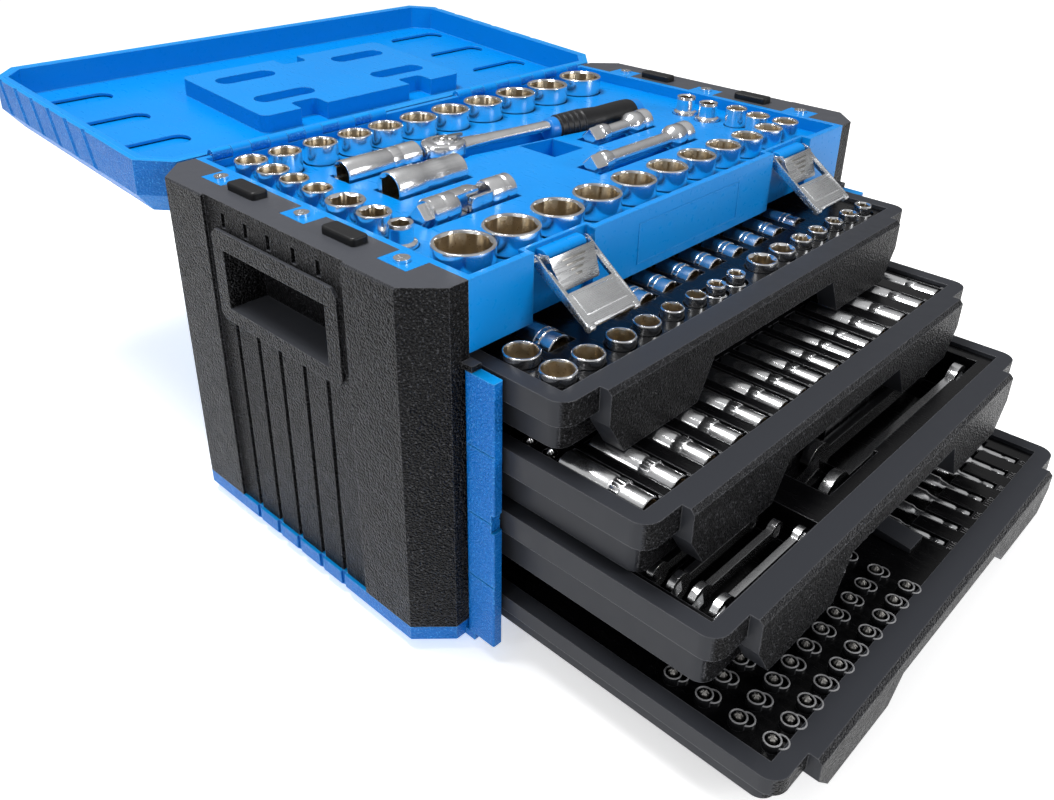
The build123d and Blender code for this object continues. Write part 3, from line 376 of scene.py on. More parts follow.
FINISH = {
    "blue_plastic": "case_blue", "blue_insert": "smooth_blue", "black_textured": "case_black",
    "black_smooth": "liner_black", "black_drawer": "drawer_black", "black_insert": "insert_black",
    "black_rubber": "rubber", "zinc_steel": "chrome", "latch_steel": "latch_steel", "chrome": "chrome",
    "grip_plastic": "rubber", "bit_steel": "dark_steel",
}
SMOOTH_NODES = {"top_tray": "smooth_blue"}    # nodes without the grain of their slot
for part in frame["record"]["subparts"]:
    mesh = nodes[part["node"]].data
    mesh.materials.clear()
    finish = SMOOTH_NODES.get(part["node"], FINISH[part["material_slot"]])
    mesh.materials.append(materials[finish])


# ---------------------------------------------------------------- reading the frame
BODY_OF = {}
for body, members in frame["record"]["behaviour"]["bodies"].items():
    for member in members:
        BODY_OF[member] = body


WELD = 0.000002                    # corners closer than this belong together


def solids(node):
    """(lowest, highest) corner of each separate solid of a CAD node, from left to right."""
    whole = bmesh.new()
    whole.from_mesh(nodes[node].data)
    bmesh.ops.remove_doubles(whole, verts=whole.verts, dist=WELD)
    waiting = set(whole.verts)
    boxes = []
    while waiting:
        reached = [waiting.pop()]
        low = reached[0].co.copy()
        high = low.copy()
        while reached:
            vertex = reached.pop()
            low = Vector(map(min, low, vertex.co))
            high = Vector(map(max, high, vertex.co))
            for edge in vertex.link_edges:
                other = edge.other_vert(vertex)
                if other in waiting:
                    waiting.remove(other)
                    reached.append(other)
        boxes.append((low, high))
    whole.free()
    return sorted(boxes, key=lambda box: (round(box[0].x, 4), box[0].y))


# ---------------------------------------------------------------- shaping
ALONG = {
    "+Z": Matrix.Identity(3),
    "-Z": Matrix.Rotation(math.pi, 3, "X"),
    "+X": Matrix.Rotation(math.pi / 2, 3, "Y"),
    "-X": Matrix.Rotation(-math.pi / 2, 3, "Y"),
    "+Y": Matrix.Rotation(-math.pi / 2, 3, "X"),
    "-Y": Matrix.Rotation(math.pi / 2, 3, "X"),
}


def reach(shape, radius, angle):
    """Distance from the axis to a round, hexagonal, square, starred or knurled outline."""
    if shape == "hexagon":
        return radius * math.cos(math.pi / 6) / math.cos(angle % (math.pi / 3) - math.pi / 6)
    if shape == "square":
        return radius * math.cos(math.pi / 4) / math.cos(angle % (math.pi / 2) - math.pi / 4)
    if shape == "star":
        return radius * (0.88 + 0.12 * math.cos(6 * angle))
    if shape == "flutes":
        return radius * (0.94 + 0.06 * abs(math.cos(3 * angle)))
    if shape == "knurl":
        return radius * (1 + 0.02 * math.cos(24 * angle))
    return radius


SHARP = math.radians(34)           # edges that turn more than this stay sharp


class Piece:
    """One visual piece: geometry in metres in the frame, with a material for each finish."""

    def __init__(self, name, *finishes):
        self.name = name
        self.finishes = finishes
        self.shape = bmesh.new()

    def turned(self, profile, start, along, sides=48):
        """Rings about an axis: (outline, radius, distance along it, finish of the band before it)."""
        rings = []
        for outline, radius, distance, finish in profile:
            ring = []
            for index in range(sides):
                angle = 2 * math.pi * index / sides
                out = reach(outline, radius, angle)
                local = Vector((out * math.cos(angle), out * math.sin(angle), distance))
                ring.append(self.shape.verts.new(Vector(start) + along @ local))
            rings.append((ring, finish))
        for below, (high, finish) in zip(rings, rings[1:]):
            low = below[0]
            for index in range(sides):
                after = (index + 1) % sides
                face = self.shape.faces.new((low[index], low[after], high[after], high[index]))
                face.material_index = finish
        self.shape.faces.new(tuple(reversed(rings[0][0]))).material_index = rings[1][1]
        self.shape.faces.new(tuple(rings[-1][0])).material_index = rings[-1][1]

    def prism(self, outline, place, depth, finish=0, soft=0.0):
        """Outline of (x, y) in metres, raised along local +Z in the frame given by a 4x4 matrix."""
        low = [self.shape.verts.new(place @ Vector((x, y, 0))) for x, y in outline]
        high = [self.shape.verts.new(place @ Vector((x, y, depth))) for x, y in outline]
        faces = [self.shape.faces.new(tuple(reversed(low))), self.shape.faces.new(tuple(high))]
        for index in range(len(outline)):
            after = (index + 1) % len(outline)
            faces.append(self.shape.faces.new((low[index], low[after], high[after], high[index])))
        for face in faces:
            face.material_index = finish
        if soft:
            edges = {edge for face in faces for edge in face.edges}
            bmesh.ops.bevel(self.shape, geom=list(edges), offset=soft, segments=2, profile=0.6,
                            affect="EDGES", material=-1)

    def bar(self, size, middle, turn, soft):
        """Softened block of a size, placed in its middle and turned."""
        half_x, half_y = size[0] / 2, size[1] / 2
        corners = [(-half_x, -half_y), (half_x, -half_y), (half_x, half_y), (-half_x, half_y)]
        shift = Matrix.Translation((0, 0, -size[2] / 2))
        self.prism(corners, Matrix.Translation(middle) @ turn.to_4x4() @ shift, size[2], 0, soft)

    def finish(self, body, *replaced):
        """Turns the shape into an object that rides on a body and stands for CAD nodes."""
        mesh = bpy.data.meshes.new(self.name)
        bmesh.ops.recalc_face_normals(self.shape, faces=self.shape.faces)
        for face in self.shape.faces:
            face.smooth = True
        self.shape.to_mesh(mesh)
        self.shape.free()
        mesh.set_sharp_from_angle(angle=SHARP)
        for finish in self.finishes:
            mesh.materials.append(materials[finish])
        piece = bpy.data.objects.new(self.name, mesh)
        bpy.context.scene.collection.objects.link(piece)
        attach(piece, body)
        if replaced:
            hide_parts(*replaced)
        return piece


# ---------------------------------------------------------------- sockets
def socket_profile(radius, length, mouth):
    """Standing socket from its foot to its mouth and back down inside: outer step, rim and hole."""
    step = length - 15.5 * MM
    chamfer = 0.7 * MM
    hole = radius * 0.87
    return [
        ("round", radius * 0.93, 0, 0),
        ("round", radius * 0.95, step - 1.5 * MM, 0),
        ("round", radius, step, 0),
        ("round", radius, length - chamfer, 0),
        ("round", radius - chamfer * 0.8, length, 0),
        ("round", radius * 0.9, length, 0),
        (mouth, hole, length - 1.4 * MM, 0),
        (mouth, hole, length * 0.5, 1),
        ("square", radius * 0.42, length * 0.49, 1),
        ("square", radius * 0.42, length * 0.2, 1),
    ]


def necked_profile(radius, length):
    """Adapter or small socket: wide foot, groove and thinner neck with the mouth."""
    neck = radius * 0.74
    return [
        ("round", radius * 0.94, 0, 0),
        ("round", radius, 1 * MM, 0),
        ("round", radius, length * 0.62, 0),
        ("round", radius * 0.95, length * 0.65, 0),
        ("round", neck, length * 0.68, 0),
        ("round", neck, length * 0.92, 0),
        ("round", neck * 1.06, length * 0.94, 0),
        ("round", neck, length, 0),
        ("round", neck * 0.86, length, 0),
        ("hexagon", neck * 0.8, length - 1 * MM, 0),
        ("hexagon", neck * 0.8, length * 0.6, 1),
    ]


def upright_sockets(node, mouth_of):
    """Every socket of a node, standing on its foot with the mouth up."""
    row = Piece("vis_" + node, "chrome", "mouth")
    for low, high in solids(node):
        radius = (high.x - low.x) / 2
        foot = ((low.x + high.x) / 2, (low.y + high.y) / 2, low.z)
        mouth = mouth_of(foot[0], foot[1])
        if mouth == "necked":
            profile = necked_profile(radius, high.z - low.z)
        else:
            profile = socket_profile(radius, high.z - low.z, mouth)
        row.turned(profile, foot, ALONG["+Z"])
    row.finish(BODY_OF[node], node)


STAR_LIMIT_Y = 0.0                 # in the left column the star sockets stand ahead of the middle
NECKED_FROM_Y = -0.05              # right column's node: the necked ones stand behind this or on the left
NECKED_PAIR_X = -0.0165            # middle of the two small sockets near the middle of drawer 1
NECKED_PAIR_REACH = 0.02
NECKED_LAST_X = 0.15               # and the one at its right end


def drawer_1_mouth(x, y):
    """Mouth of a hexagonal socket of drawer 1, chosen by its place in the row."""
    small = abs(x - NECKED_PAIR_X) < NECKED_PAIR_REACH or x > NECKED_LAST_X
    return "necked" if small else "flutes"


upright_sockets("sockets_rear_row", lambda x, y: "flutes")
upright_sockets("sockets_front_row", lambda x, y: "flutes")
upright_sockets("sockets_left_column", lambda x, y: "star" if y < STAR_LIMIT_Y else "flutes")
upright_sockets("sockets_right_column", lambda x, y: "necked" if x < 0 or y > NECKED_FROM_Y else "flutes")
upright_sockets("drawer_1_hex_sockets", drawer_1_mouth)
upright_sockets("drawer_1_star_sockets", lambda x, y: "star")


def lying_profile(radius, length, nose):
    """Lying socket from its mouth to its drive end: bright nose, collar, long barrel."""
    front = radius * 0.93
    return [
        ("flutes", radius * 0.76, length * 0.3, 1),
        ("flutes", radius * 0.76, 1.2 * MM, 1),
        ("round", radius * 0.8, 0, 0),
        ("round", front - 0.5 * MM, 0, 0),
        ("round", front, 0.7 * MM, 0),
        ("round", front, length * (nose - 0.06), 0),
        ("knurl", radius, length * (nose - 0.05), 0),
        ("knurl", radius, length * (nose + 0.04), 0),
        ("round", radius * 0.96, length * (nose + 0.05), 0),
        ("round", radius * 0.96, length * (nose + 0.08), 0),
        ("round", radius, length * (nose + 0.09), 0),
        ("round", radius, length - 0.8 * MM, 0),
        ("round", radius - 0.8 * MM, length, 0),
        ("square", radius * 0.5, length, 0),
        ("square", radius * 0.5, length * 0.8, 1),
    ]


def lying_sockets(node, nose):
    """Every socket of a node, lying with its mouth to the front."""
    row = Piece("vis_" + node, "chrome", "mouth")
    for low, high in solids(node):
        radius = (high.z - low.z) / 2
        mouth = ((low.x + high.x) / 2, low.y, (low.z + high.z) / 2)
        row.turned(lying_profile(radius, high.y - low.y, nose), mouth, ALONG["+Y"], 72)
    row.finish(BODY_OF[node], node)


lying_sockets("drawer_1_lying_sockets", 0.38)
lying_sockets("drawer_2_deep_sockets", 0.34)


# ---------------------------------------------------------------- tools in the tray
LYING_Z = 266.5 * MM


def lying(x, y):
    """Place on the common axis height of the tools that lie in the tray, from millimetres."""
    return (x * MM, y * MM, LYING_Z)


def scaled(profile):
    """Profile written in millimetres."""
    return [(shape, radius * MM, distance * MM, finish) for shape, radius, distance, finish in profile]


PLUG_LARGE_AT = (-148, 10.3)
PLUG_SMALL_AT = (-152.5, 59.4)


def barrel(name, start, profile):
    """Lying tool turned about +X that stands for the CAD node of its name."""
    tool = Piece("vis_" + name, "chrome", "mouth")
    tool.turned(scaled(profile), start, ALONG["+X"], 72)
    tool.finish(BODY_OF[name], name)


barrel("spark_plug_socket_large", lying(*PLUG_LARGE_AT), [
    ("hexagon", 10.6, 30, 1), ("hexagon", 10.8, 1.5, 1), ("round", 11.6, 0, 0), ("round", 12.6, 0, 0),
    ("round", 13.2, 1, 0), ("round", 13.2, 25, 0), ("round", 12.4, 27, 0), ("round", 12.4, 40, 0),
    ("knurl", 12.5, 41, 0), ("knurl", 12.5, 48, 0), ("round", 12.2, 49, 0), ("round", 12.2, 66, 0),
    ("round", 11.4, 67, 0), ("square", 7, 67, 0), ("square", 7, 58, 1)])
barrel("spark_plug_socket_small", lying(*PLUG_SMALL_AT), [
    ("hexagon", 8.8, 32, 1), ("hexagon", 9, 1.5, 1), ("round", 9.5, 0, 0), ("round", 10.1, 0, 0),
    ("round", 10.6, 1, 0), ("round", 10.6, 42, 0), ("round", 10.1, 43, 0), ("knurl", 10.4, 44, 0),
    ("knurl", 10.4, 51, 0), ("round", 10.1, 52, 0), ("round", 10.1, 53.5, 0), ("round", 10.6, 54.5, 0),
    ("round", 10.6, 70, 0), ("round", 9.9, 71, 0), ("square", 6.6, 71, 0), ("square", 6.6, 62, 1)])


def extension_bar(name, start, end, y):
    """Extension bar: drive square with a ball, collar, knurled grip, shaft and socket end."""
    length = end - start
    barrel(name, lying(start, y), [
        ("square", 7.4, 0, 0), ("square", 8.4, 0.8, 0), ("square", 8.4, 12, 0), ("round", 7.4, 12.4, 0),
        ("round", 8.2, 13.2, 0), ("knurl", 8.2, 14.5, 0), ("knurl", 8.2, 20, 0), ("round", 7.6, 21.5, 0),
        ("round", 6.1, 23, 0), ("round", 6.1, length - 27, 0), ("round", 9.6, length - 23, 0),
        ("round", 10.6, length - 21, 0), ("round", 10.6, length - 12, 0), ("round", 10, length - 11, 0),
        ("round", 10, length - 9.5, 0), ("round", 10.6, length - 8.5, 0), ("round", 10.6, length - 0.8, 0),
        ("round", 9.8, length, 0), ("square", 8.6, length, 0), ("square", 8.6, length - 12, 1)])


extension_bar("extension_long", -4, 121, -55)
extension_bar("extension_short", 50, 125, -8)

JOINT_Y = -44
JOINT_X = -122                     # where the joint's two forks cross
CHEEK_OUT = 8                      # from the joint's axis to the middle of a fork's cheek


def fork(tool, start, reach_to, vertical):
    """Two rounded cheeks of a universal joint fork, with pin bosses at their ends."""
    for side in (-1, 1):
        out = side * CHEEK_OUT * MM
        up = Matrix.Rotation(math.pi / 2, 3, "X") if vertical else Matrix.Identity(3)
        away = Vector((0, out, 0)) if vertical else Vector((0, 0, out))
        middle = Vector(lying((start + reach_to) / 2, JOINT_Y)) + away
        tool.bar((abs(reach_to - start) * MM, 11.5 * MM, 3.8 * MM), middle, up, 0.0012)
        boss = [("round", 5.6, -1.9, 0), ("round", 5.6, 1.9, 0), ("round", 3.4, 2.3, 0)]
        spin = ALONG["+Z" if side > 0 else "-Z"] if not vertical else ALONG["+Y" if side > 0 else "-Y"]
        tool.turned(scaled(boss), Vector(lying(JOINT_X, JOINT_Y)) + away, spin, 24)


drive_end = Piece("vis_joint_drive_end", "chrome", "mouth")
drive_end.turned(scaled([
    ("square", 7.8, -7, 0), ("square", 8.8, -6, 0), ("square", 8.8, 0, 0), ("round", 9.6, 0.2, 0),
    ("round", 11, 1.5, 0), ("round", 11, 10, 0), ("round", 10.3, 11, 0), ("round", 10.3, 12.5, 0),
    ("round", 11, 13.5, 0), ("round", 11, 22, 0), ("round", 10, 24, 0)]), lying(-161, JOINT_Y), ALONG["+X"])
fork(drive_end, -139, -117, False)
drive_end.finish(BODY_OF["joint_drive_end"], "joint_drive_end")

socket_end = Piece("vis_joint_socket_end", "chrome", "mouth")
socket_end.turned(scaled([
    ("round", 10, 0, 0), ("round", 11, 2, 0), ("round", 11, 13, 0), ("round", 10.3, 14, 0),
    ("round", 10.3, 16, 0), ("round", 11, 17, 0), ("round", 11, 23, 0), ("round", 10.2, 24, 0),
    ("square", 9, 24, 0), ("square", 9, 12, 1)]), lying(JOINT_X + 15, JOINT_Y), ALONG["+X"])
fork(socket_end, -107, -127, True)
socket_end.finish(BODY_OF["joint_socket_end"], "joint_socket_end")

# ratchet: drawn along its own +X from the centre of its head
RATCHET_AT = Vector((-59.7, 50.4, 262))
RATCHET_TURN = math.radians(-9.5)
RATCHET = Matrix.Translation(RATCHET_AT * MM) @ Matrix.Rotation(RATCHET_TURN, 4, "Z")
OVAL_SIDES = 48


def ovals(tool, rings, along_x):
    """Skin over ovals: (place, half width, half height, offset) along the ratchet's X or Z axis.

    The offset lifts an oval along Z where they follow X, and pushes it along X where they follow Z.
    """
    loops = []
    for place, wide, high, offset in rings:
        loop = []
        for index in range(OVAL_SIDES):
            angle = 2 * math.pi * index / OVAL_SIDES
            one = wide * math.cos(angle)
            two = high * math.sin(angle)
            point = (place, one, two + offset) if along_x else (one + offset, two, place)
            loop.append(tool.shape.verts.new(RATCHET @ (Vector(point) * MM)))
        loops.append(loop)
    for low, high in zip(loops, loops[1:]):
        for index in range(OVAL_SIDES):
            after = (index + 1) % OVAL_SIDES
            tool.shape.faces.new((low[index], low[after], high[after], high[index]))
    tool.shape.faces.new(tuple(reversed(loops[0])))
    tool.shape.faces.new(tuple(loops[-1]))


body = Piece("vis_ratchet_body", "chrome")
ovals(body, [(0, 17, 14.5, 0), (1.5, 18.6, 16, 0), (3, 19, 16.5, 0), (10, 19, 16.5, 0), (12, 18, 15.5, 0),
             (13, 16, 13.5, 0), (13, 12.6, 11.4, 0), (12.2, 12, 10.9, 0)], False)
ovals(body, [(8, 12.5, 4.5, 7), (16, 10.5, 4.6, 7), (26, 8.6, 4.4, 7), (44, 7, 4.2, 7), (70, 6.2, 4.2, 7),
             (100, 5.8, 4.4, 7.2), (112, 5.8, 4.4, 7.2)], True)
body.finish(BODY_OF["ratchet_body"], "ratchet_body")

cap = Piece("vis_ratchet_cap", "chrome", "dark_steel")
spot = RATCHET @ Vector((0, 0, 12.2 * MM))
cap.turned(scaled([
    ("round", 8.9, 0, 0), ("round", 8.9, 1.2, 0), ("round", 8, 1.6, 0), ("round", 7.6, 1.2, 1),
    ("round", 6.8, 1.2, 1), ("round", 6.4, 1.8, 0), ("round", 3.6, 2.2, 0)]), spot, ALONG["+Z"])
cap.finish(BODY_OF["ratchet_cap"], "ratchet_cap")

selector = Piece("vis_ratchet_lever", "dark_steel")
ovals(selector, [(13.6, 4.2, 4.2, 0), (15, 4.2, 4.2, 0), (15.8, 3.2, 3.2, 0)], False)
ovals(selector, [(13.8, 9.5, 2.4, 9), (15.6, 9.5, 2.4, 9), (16.2, 8.6, 1.6, 9)], False)
selector.finish(BODY_OF["ratchet_lever"], "ratchet_lever")

grip = Piece("vis_ratchet_grip", "rubber", "grip_blue", "print_and_highlight_grey")
spine = RATCHET @ Vector((104 * MM, 0, 3.5 * MM))
turn = RATCHET.to_3x3() @ ALONG["+X"]
sleeve = [("round", 8.2, 0, 1), ("round", 9.6, 1, 1), ("round", 10.4, 5, 1), ("round", 10.4, 8, 1),
          ("round", 9.8, 9, 0)]
for groove in range(4):
    start = 10 + groove * 6
    grow = groove * 0.3
    sleeve += [("round", 11.4 + grow, start, 0), ("round", 11.6 + grow, start + 4.4, 0),
               ("round", 10.7 + grow, start + 5, 0), ("round", 10.7 + grow, start + 5.5, 0)]
sleeve += [("round", 12.6, 35, 0), ("round", 11.6, 56, 0), ("round", 13, 82, 0), ("round", 13, 92, 0),
           ("round", 12, 95, 0), ("round", 11.8, 97, 1), ("round", 11.5, 103, 1), ("round", 8.5, 106, 1)]
grip.turned(scaled(sleeve), spine, turn)
grip.finish(BODY_OF["ratchet_grip"], "ratchet_grip")


# ---------------------------------------------------------------- latches
LATCH_X = 136.5
LATCH_Y = -144.0
LATCH_Z = 265.5
LEVER_ANGLE = 56                   # how far the levers hang out from the wall
PLATE_ANGLE = 26                   # and the spring plates
LEVER_CHEEK_X = 23.9               # places along the pin, from the middle of the latch
LEVER_FLANGE_X = 22.4
LEVER_LOOP_X = 21.5
PLATE_EAR_X = 19.9
PLATE_OUT = 7.6                    # from the pin out to the back of the blade
SHEET_EDGE = 0.00025


def latch_frame(side, angle):
    """Frame of a latch piece: X along the pin, Y out of the case, Z away from the pin."""
    swing = math.radians(angle)
    out = Vector((0, -math.cos(swing), math.sin(swing)))
    away = Vector((0, -math.sin(swing), -math.cos(swing)))
    axes = Matrix((Vector((1, 0, 0)), out, away)).transposed().to_4x4()
    return Matrix.Translation((side * LATCH_X * MM, LATCH_Y * MM, LATCH_Z * MM)) @ axes


def sheet(piece, place, section, half):
    """Section of (y, z) in millimetres in a latch frame, drawn out along its X by half each way."""
    sideways = Matrix(((0, 0, 1, 0), (1, 0, 0, 0), (0, 1, 0, 0), (0, 0, 0, 1)))
    shift = Matrix.Translation((-half * MM, 0, 0))
    outline = [(y * MM, z * MM) for y, z in section]
    piece.prism(outline, place @ shift @ sideways, 2 * half * MM, 0, SHEET_EDGE)


def arc(middle, radius, start, end, steps=10):
    """Points of an arc, in degrees, in the plane of a section."""
    points = []
    for step in range(steps + 1):
        angle = math.radians(start + (end - start) * step / steps)
        points.append((middle[0] + radius * math.cos(angle), middle[1] + radius * math.sin(angle)))
    return points


for side, name in ((-1, "left"), (1, "right")):
    place = latch_frame(side, LEVER_ANGLE)
    lever = Piece("vis_latch_lever_" + name, "latch_steel")
    for edge in (-1, 1):
        cheek = arc((0, 0), 3.6, 180, 360) + [(2.6, 12), (1.6, 50), (0.4, 53), (-2.4, 53), (-3, 46)]
        sheet(lever, place @ Matrix.Translation((edge * LEVER_CHEEK_X * MM, 0, 0)), cheek, 0.7)
        flange = [(1.4, 10), (1.4, 30), (0.6, 30), (0.6, 10)]
        sheet(lever, place @ Matrix.Translation((edge * LEVER_FLANGE_X * MM, 0, 0)), flange, 1.6)
        loop = arc((-1.2, 53), 3.0, 0, 360, 18)[:-1]
        sheet(lever, place @ Matrix.Translation((edge * LEVER_LOOP_X * MM, 0, 0)), loop, 2.4)
    thumb = [(1.4, 29)] + arc((-1.2, 51.6), 2.6, 0, 200) + arc((-1.2, 51.6), 1.6, 200, 0) + [(0.2, 29)]
    sheet(lever, place, thumb, 24)
    pressed = [(1.9, 32), (1.9, 46), (1.4, 46.6), (0.9, 46.6), (0.9, 31.4), (1.4, 31.4)]
    sheet(lever, place, pressed, 19)
    lever.finish(BODY_OF["latch_lever_" + name], "latch_lever_" + name)

    place = latch_frame(side, PLATE_ANGLE)
    plate = Piece("vis_latch_plate_" + name, "latch_steel", "dark_steel")
    for edge in (-1, 1):
        ear = arc((0, 0), 3, 150, 330) + [(7.6, -0.6), (8.4, 4.2), (0, 4.2)]
        sheet(plate, place @ Matrix.Translation((edge * PLATE_EAR_X * MM, 0, 0)), ear, 0.6)
    blade = [(-20.5, 1.5), (20.5, 1.5), (20, 8), (17.6, 22), (16.4, 23.5),
             (-16.4, 23.5), (-17.6, 22), (-20, 8)]
    blade_back = Matrix.Translation((0, PLATE_OUT * MM, 0))
    flat = place @ blade_back @ Matrix.Rotation(math.pi / 2, 4, "X").inverted()
    plate.prism([(x * MM, -z * MM) for x, z in blade], flat, 1 * MM, 0, 0.0002)
    for stripe in range(4):
        wide = 11 - 2.6 * stripe
        low = 5 + 3.6 * stripe
        bar = [(-wide, low), (wide, low), (wide - 0.8, low + 1.5), (-wide + 0.8, low + 1.5)]
        plate.prism([(x * MM, -z * MM) for x, z in bar], flat, 1.5 * MM, 1, 0.00015)
    plate.finish(BODY_OF["latch_plate_" + name], "latch_plate_" + name)


# ---------------------------------------------------------------- bits and nut drivers
def standing_bits(node, sunk, finish):
    """Hexagonal screwdriver bits, sunk in their holders: chamfered shank, neck and cross tip."""
    group = Piece("vis_" + node, finish)
    for low, high in solids(node):
        foot = ((low.x + high.x) / 2, (low.y + high.y) / 2, low.z)
        tall = (high.z - low.z) / MM - sunk
        group.turned(scaled([
            ("hexagon", 3.4, 0, 0), ("hexagon", 3.9, 0.8, 0), ("hexagon", 3.9, tall - 13, 0),
            ("round", 2.6, tall - 11.5, 0), ("round", 2.4, tall - 7, 0), ("star", 2.9, tall - 5.5, 0),
            ("star", 2.7, tall - 2, 0), ("star", 0.8, tall, 0)]), foot, ALONG["+Z"], 36)
    group.finish(BODY_OF[node], node)


BITS_SUNK = 8.5                    # the visual bits of drawer 4 end this much lower than the CAD's

standing_bits("drawer_4_bits", BITS_SUNK, "dark_steel")
standing_bits("drawer_2_bits", 0, "chrome")

RING_SHIFT = 3.4                   # the second cup of each bit holder, to the right and in front
CUP_RISES = ((0, 4.5), (RING_SHIFT, 2.2))    # shift of each cup and its height above the CAD cup
# the lip of each cup is pale grey: a painted highlight on the cup rim, over black walls
rings = Piece("vis_drawer_4_bit_rings", "print_and_highlight_grey", "insert_black")
for low, high in solids("drawer_4_bit_rings"):
    foot = Vector(((low.x + high.x) / 2, (low.y + high.y) / 2, low.z))
    tall = (high.z - low.z) / MM
    for shift, rise in CUP_RISES:
        top = tall + rise
        rings.turned(scaled([
            ("round", 5.0, 0, 1), ("round", 5.6, 0.1, 1), ("round", 5.5, top - 0.5, 1),
            ("round", 5.2, top, 0), ("round", 4.7, top, 0), ("round", 4.4, top - 0.5, 0),
            ("round", 4.1, tall - 2, 1)]), foot + Vector((shift, -shift, 0)) * MM, ALONG["+Z"], 32)
rings.finish(BODY_OF["drawer_4_bit_rings"], "drawer_4_bit_rings")

drivers = Piece("vis_drawer_4_nut_drivers", "chrome", "mouth")
driver_places = solids("drawer_4_nut_drivers")
for low, high in driver_places:
    radius = (high.x - low.x) / 2 / MM
    tip = ((low.x + high.x) / 2, low.y, (low.z + high.z) / 2)
    long = (high.y - low.y) / MM
    drivers.turned(scaled([
        ("hexagon", 3, 0, 0), ("hexagon", 3.6, 0.8, 0), ("hexagon", 3.6, 8, 0), ("hexagon", 3, 9, 0),
        ("hexagon", 3, 11, 0), ("hexagon", 3.6, 12, 0), ("hexagon", 3.6, 25, 0), ("round", 3.6, 26, 0),
        ("round", radius * 0.7, 29, 0), ("round", radius * 0.8, long - 20, 0),
        ("round", radius, long - 18, 0), ("round", radius, long - 0.7, 0),
        ("round", radius - 0.6, long, 0), ("round", radius * 0.8, long, 0),
        ("hexagon", radius * 0.74, long - 0.6, 0), ("hexagon", radius * 0.74, long - 10, 1)]),
        tip, ALONG["+Y"], 36)
drivers.finish(BODY_OF["drawer_4_nut_drivers"], "drawer_4_nut_drivers")


# ---------------------------------------------------------------- moulded marks
MARK_DEPTH = 0.15
DRIVER_SIZES = ("3/16", "1/4", "5/16", "11/32", "3/8", "7/16", "1/2")
DRIVER_MARK_SIZE = 6.5
DEEP_MARK_SIZE = 4.2
DEEP_FIRST_SIZE = 4                # the deep sockets run on from this size in steps of one


def mark(name, text, size, spot, body):
    """Raised size mark lying on a face that looks up."""
    data = bpy.data.curves.new(name, "FONT")
    data.body = text
    data.size = size * MM
    data.extrude = MARK_DEPTH * MM
    data.align_x = "CENTER"
    data.align_y = "CENTER"
    source = bpy.data.objects.new(name + "_source", data)
    bpy.context.scene.collection.objects.link(source)
    mesh = bpy.data.meshes.new_from_object(source)
    bpy.data.objects.remove(source)
    mesh.transform(Matrix.Translation(spot))
    mesh.materials.clear()
    mesh.materials.append(materials["print_and_highlight_grey"])
    piece = bpy.data.objects.new(name, mesh)
    bpy.context.scene.collection.objects.link(piece)
    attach(piece, body)


D4_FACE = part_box("drawer_4_insert")[1][2]
for index, text in enumerate(DRIVER_SIZES):
    low, high = driver_places[index]
    spot = ((low.x + high.x) / 2, low.y - 6 * MM, D4_FACE)
    mark("mark_driver_" + str(index + 1), text, DRIVER_MARK_SIZE, spot, "drawer_4")
D2_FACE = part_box("drawer_2_insert")[1][2]
for index, (low, high) in enumerate(solids("drawer_2_deep_sockets")):
    spot = ((low.x + high.x) / 2 + 8.5 * MM, low.y - 0.5 * MM, D2_FACE)
    mark("mark_deep_" + str(index + 1), str(index + DEEP_FIRST_SIZE), DEEP_MARK_SIZE, spot, "drawer_2")


# ---------------------------------------------------------------- lid shell with grooved end walls
HINGE_Y = 146.0
HINGE_Z = 273.0
LID_TILT = 3.9
GROOVE_FIRST = 92.0                # from the hinge to the first groove
GROOVE_PITCH = 31.0
GROOVES = 6
GROOVE_X = 259.3                   # axis of the round cutter, just outside the end wall
GROOVE_DROP = -26
GROOVE_SLANT = math.radians(-24)
GROOVE_RADIUS = 4.8
GROOVE_HALF = 34
LID = Matrix.Translation((0, HINGE_Y * MM, HINGE_Z * MM)) @ Matrix.Rotation(math.radians(LID_TILT), 4, "X")


def carved(node, cutter, finish):
    """Copy of a CAD node with the cutter's shape taken out of it, standing for that node."""
    mesh = nodes[node].data.copy()
    piece = bpy.data.objects.new("vis_" + node, mesh)
    bpy.context.scene.collection.objects.link(piece)
    tool_mesh = bpy.data.meshes.new("cutter")
    bmesh.ops.recalc_face_normals(cutter.shape, faces=cutter.shape.faces)
    cutter.shape.to_mesh(tool_mesh)
    cutter.shape.free()
    tool = bpy.data.objects.new("cutter", tool_mesh)
    bpy.context.scene.collection.objects.link(tool)
    cut = piece.modifiers.new("cut", "BOOLEAN")
    cut.operation = "DIFFERENCE"
    cut.solver = "EXACT"
    cut.object = tool
    ready = piece.evaluated_get(bpy.context.evaluated_depsgraph_get())
    piece.data = bpy.data.meshes.new_from_object(ready)
    piece.modifiers.clear()
    bpy.data.objects.remove(tool)
    piece.data.materials.clear()
    piece.data.materials.append(materials[finish])
    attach(piece, BODY_OF[node])
    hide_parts(node)


grooves = Piece("lid_grooves")
for side in (-1, 1):
    for index in range(GROOVES):
        slanted = Matrix.Rotation(GROOVE_SLANT, 3, "X")
        middle = LID @ (Vector((side * GROOVE_X, GROOVE_FIRST + GROOVE_PITCH * index, GROOVE_DROP)) * MM)
        start = middle - slanted @ Vector((0, 0, GROOVE_HALF * MM))
        rod = [("round", GROOVE_RADIUS, 0, 0), ("round", GROOVE_RADIUS, 2 * GROOVE_HALF, 0)]
        grooves.turned(scaled(rod), start, slanted, 24)
carved("lid_shell", grooves, "case_blue")


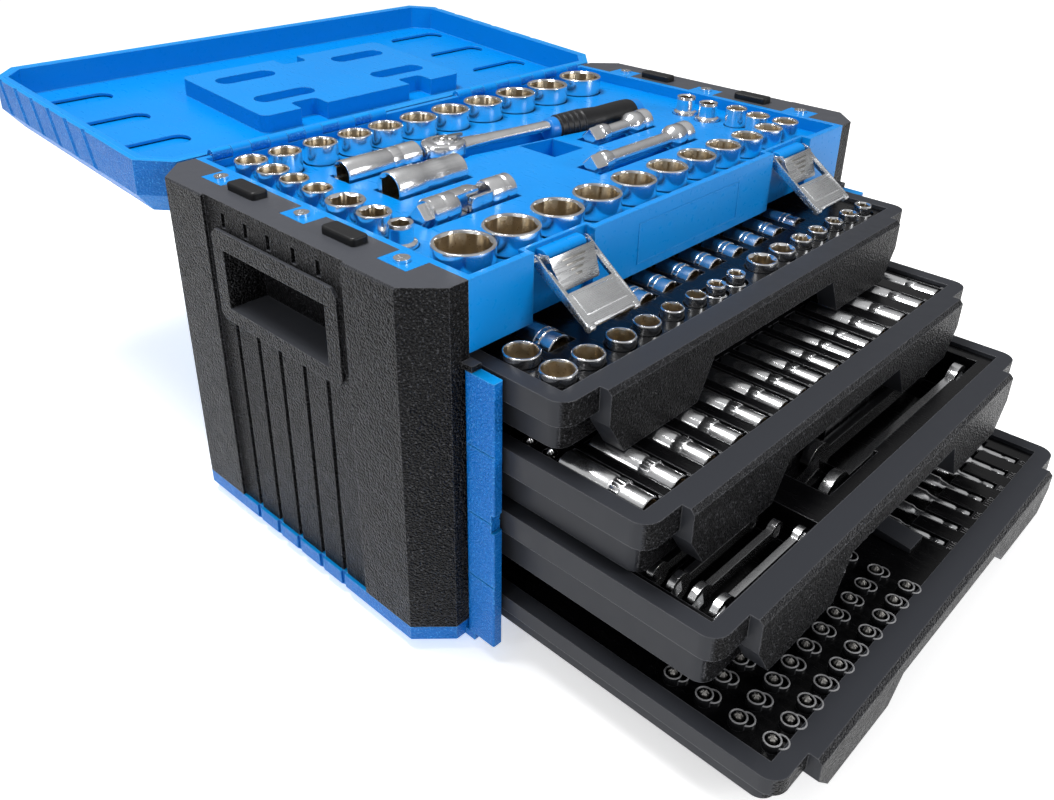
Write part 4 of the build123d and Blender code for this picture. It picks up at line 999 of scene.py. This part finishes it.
# ---------------------------------------------------------------- small mouldings
def stadium(long, wide):
    """Outline with round ends, in millimetres, along X."""
    reach_x = (long - wide) / 2
    return arc((reach_x, 0), wide / 2, -90, 90) + arc((-reach_x, 0), wide / 2, 90, 270)


SLOT_LONG = 73
SLOT_WIDE = 23
SLOT_X = 204
SLOTS_FROM_HINGE = (104, 172, 241)
SLOT_FLOOR_DROP = -29
slots = Piece("lid_slot_floors", "smooth_blue")
for side in (-1, 1):
    for from_hinge in SLOTS_FROM_HINGE:
        outline = [(x * MM, y * MM) for x, y in stadium(SLOT_LONG, SLOT_WIDE)]
        spot = LID @ Matrix.Translation(Vector((side * SLOT_X, from_hinge, SLOT_FLOOR_DROP)) * MM)
        slots.prism(outline, spot, 1 * MM)
slots = slots.finish("lid")

FRAME_HALF = 61
FRAME_LOW = 232.5
FRAME_HIGH = 262.0
FRONT_WALL = -147.4
BORDER_DEEP = 0.9
BORDER_WIDE = 1.1
BORDER_SOFT = 0.0002
RIM_PADS = ((-109, -81), (58, 94))    # left and right end of each pad on the tray's front rim
PAD_Z = 272.35
border = Piece("tray_front_border", "smooth_blue")
level = Matrix.Identity(3)
for height in (FRAME_LOW, FRAME_HIGH):
    long_bar = Vector((2 * FRAME_HALF, BORDER_DEEP, BORDER_WIDE)) * MM
    border.bar(long_bar, Vector((0, FRONT_WALL, height)) * MM, level, BORDER_SOFT)
for side in (-1, 1):
    middle = Vector((side * FRAME_HALF, FRONT_WALL, (FRAME_LOW + FRAME_HIGH) / 2)) * MM
    side_bar = Vector((BORDER_WIDE, BORDER_DEEP, FRAME_HIGH - FRAME_LOW + 1)) * MM
    border.bar(side_bar, middle, level, BORDER_SOFT)
for start, end in RIM_PADS:
    middle = Vector(((start + end) / 2, FRONT_WALL + 2.6, PAD_Z)) * MM
    border.bar(((end - start) * MM, 5 * MM, 1.6 * MM), middle, level, 0.0006)
border = border.finish("case")

D4_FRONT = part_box("drawer_4_body")[0][1]
DIVIDER_X = 26
DIVIDER_BACK = 56                  # from the drawer's front to the middle of the block
DIVIDER_TILT = math.radians(8)
divider = Piece("drawer_4_divider", "drawer_black")
middle = Vector((DIVIDER_X * MM, D4_FRONT + DIVIDER_BACK * MM, D4_FACE + 2.5 * MM))
divider.bar((20 * MM, 30 * MM, 7 * MM), middle, Matrix.Rotation(DIVIDER_TILT, 3, "X"), 0.002)
divider = divider.finish("drawer_4")
